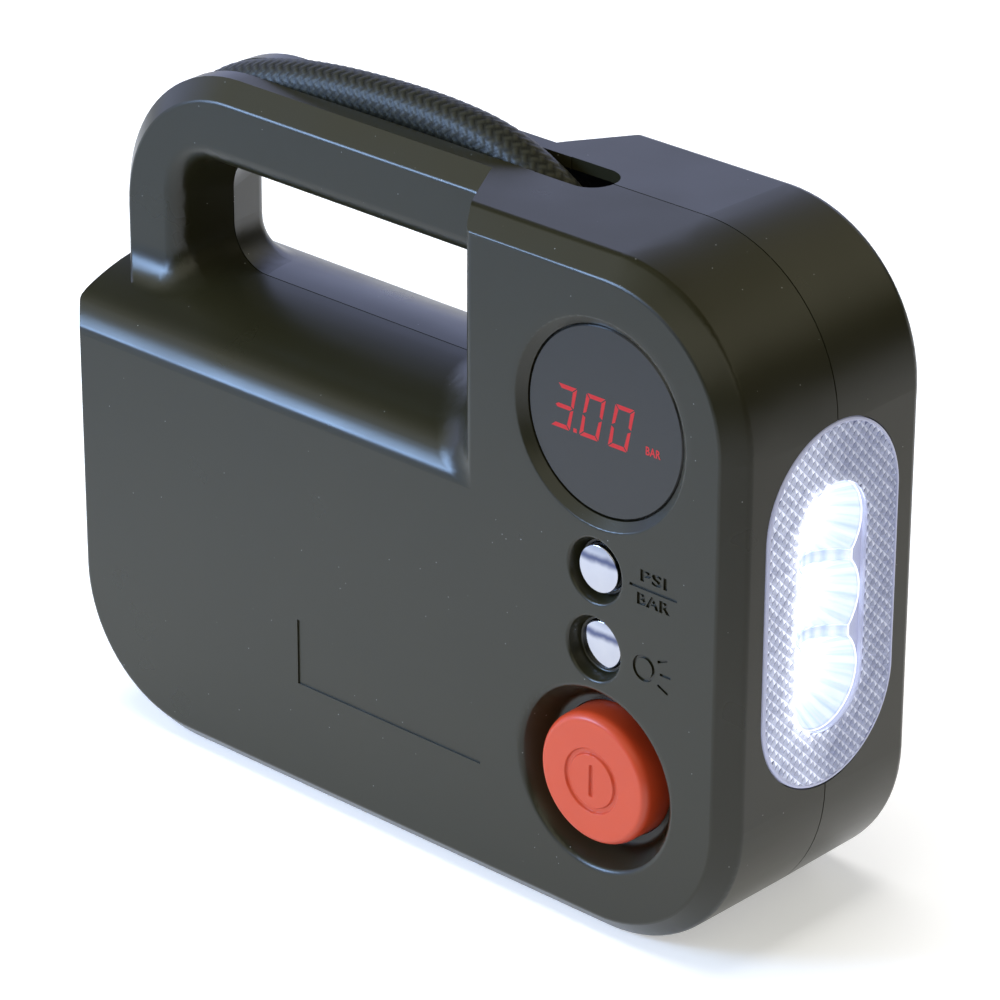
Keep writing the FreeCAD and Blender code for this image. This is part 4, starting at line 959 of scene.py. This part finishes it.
def buildFloor(s):
    # glow = floorGlow * fade to the right * fade to the front left, each a smooth ramp in metres, painted shade;
    # the paper's colour dims to grey with them as painted shade, and the second fade also turns the glow cool as
    # painted window light
    material, tree, shader = newMaterial("whitePaperFloor", Roughness=0.9, Specular_IOR_Level=0.1)
    place = addNode(tree, "TexCoord").outputs["Object"]
    fades = []
    for heading, start, end, least in s["fades"]:
        away = addNode(tree, "VectorMath", {0: place, 1: heading}, operation="DOT_PRODUCT")
        ramp = addNode(tree, "MapRange", {"Value": away.outputs["Value"], "From Min": start, "From Max": end,
                                          "To Min": 1.0, "To Max": least}, interpolation_type="SMOOTHSTEP")
        fades.append(ramp.outputs["Result"])
    # painted cool window light: the floor's glow turns cool along the front-left fade
    tint = addNode(tree, "Mix", {"Factor": fades[1], "A": s["paintedWindowTint"], "B": "#ffffff"}, data_type="RGBA")
    tree.links.new(tint.outputs["Result"], shader.inputs["Emission Color"])
    # painted shade: the floor's glow dims with both fades
    fade = addNode(tree, "Math", {0: fades[0], 1: fades[1]}, operation="MULTIPLY")
    glow = addNode(tree, "Math", {0: fade.outputs["Value"], 1: s["floorGlow"]}, operation="MULTIPLY")
    tree.links.new(glow.outputs["Value"], shader.inputs["Emission Strength"])
    codeA, codeB = s["floorCodes"]
    paper = addNode(tree, "Mix", {"Factor": patches(tree, s["floorPatch"]), "A": codeA, "B": codeB},
                    data_type="RGBA")
    # painted shade: the paper's colour dims towards grey with the fades
    shadedPaper = addNode(tree, "Mix", {"Factor": fade.outputs["Value"], "A": s["paintedShadeCode"],
                                   "B": paper.outputs["Result"]}, data_type="RGBA")
    tree.links.new(shadedPaper.outputs["Result"], shader.inputs["Base Color"])
    mesh = bpy.data.meshes.new("floor")
    reach = s["floorReach"]
    mesh.from_pydata([(-reach, -reach, 0), (reach, -reach, 0), (reach, reach, 0), (-reach, reach, 0)], [],
                     [(0, 1, 2, 3)])
    mesh.materials.append(material)
    newObject("floor", mesh)


def areaLight(s):
    # a flat light that faces the object from its own direction
    data = bpy.data.lights.new(s["name"], "AREA")
    data.shape = "RECTANGLE"
    data.size, data.size_y = s["size"]
    data.energy = s["power"]
    data.color = hexColour(s["code"])[:3]
    light = newObject(s["name"], data)
    direction = Vector(s["toward"]).normalized()
    light.location = Vector(photoView["target"]) + direction * s["away"]
    light.rotation_euler = direction.to_track_quat("Z", "Y").to_euler()
    light.visible_camera = False
    light.visible_glossy = s["glossy"]


def buildWorld(s):
    # radiance by direction: room glow, with a left, a back and a front glow mixed in, each by a product of smooth
    # ramps along the direction's X, Y and Z
    world = bpy.data.worlds.new("studio")
    bpy.context.scene.world = world
    world.use_nodes = True
    tree = world.node_tree
    background = tree.nodes["Background"]
    axes = addNode(tree, "SeparateXYZ", {"Vector": addNode(tree, "TexCoord").outputs["Generated"]})

    def product(*ramps):
        total = None
        for axis, start, end in ramps:
            ramp = addNode(tree, "MapRange", {"Value": axes.outputs[axis], "From Min": start, "From Max": end},
                           interpolation_type="SMOOTHSTEP").outputs["Result"]
            total = ramp if total is None else addNode(tree, "Math", {0: total, 1: ramp},
                                                       operation="MULTIPLY").outputs["Value"]
        return total

    left = product(("X", 0.15, -0.45), ("Z", 0.66, 0.38))
    back = product(("X", -0.5, 0.1), ("Y", 0.0, 0.35), ("Z", 0.25, 0.5), ("Z", 0.85, 0.6))
    front = product(("Y", 0.0, -0.4), ("Z", 0.22, 0.47), ("Z", 0.9, 0.7))
    lit = (*s["roomGlow"], 1)
    for factor, glow in ((left, "leftGlow"), (back, "backGlow"), (front, "frontGlow")):
        mix = addNode(tree, "Mix", {"Factor": factor, "A": lit, "B": (*s[glow], 1)}, data_type="RGBA")
        lit = mix.outputs["Result"]
    tree.links.new(lit, background.inputs["Color"])


buildFloor(studio)
buildWorld(studio)
for light in studio["lights"]:
    areaLight(light)
bpy.context.scene.view_settings.view_transform = "Standard"
print("studio lit")
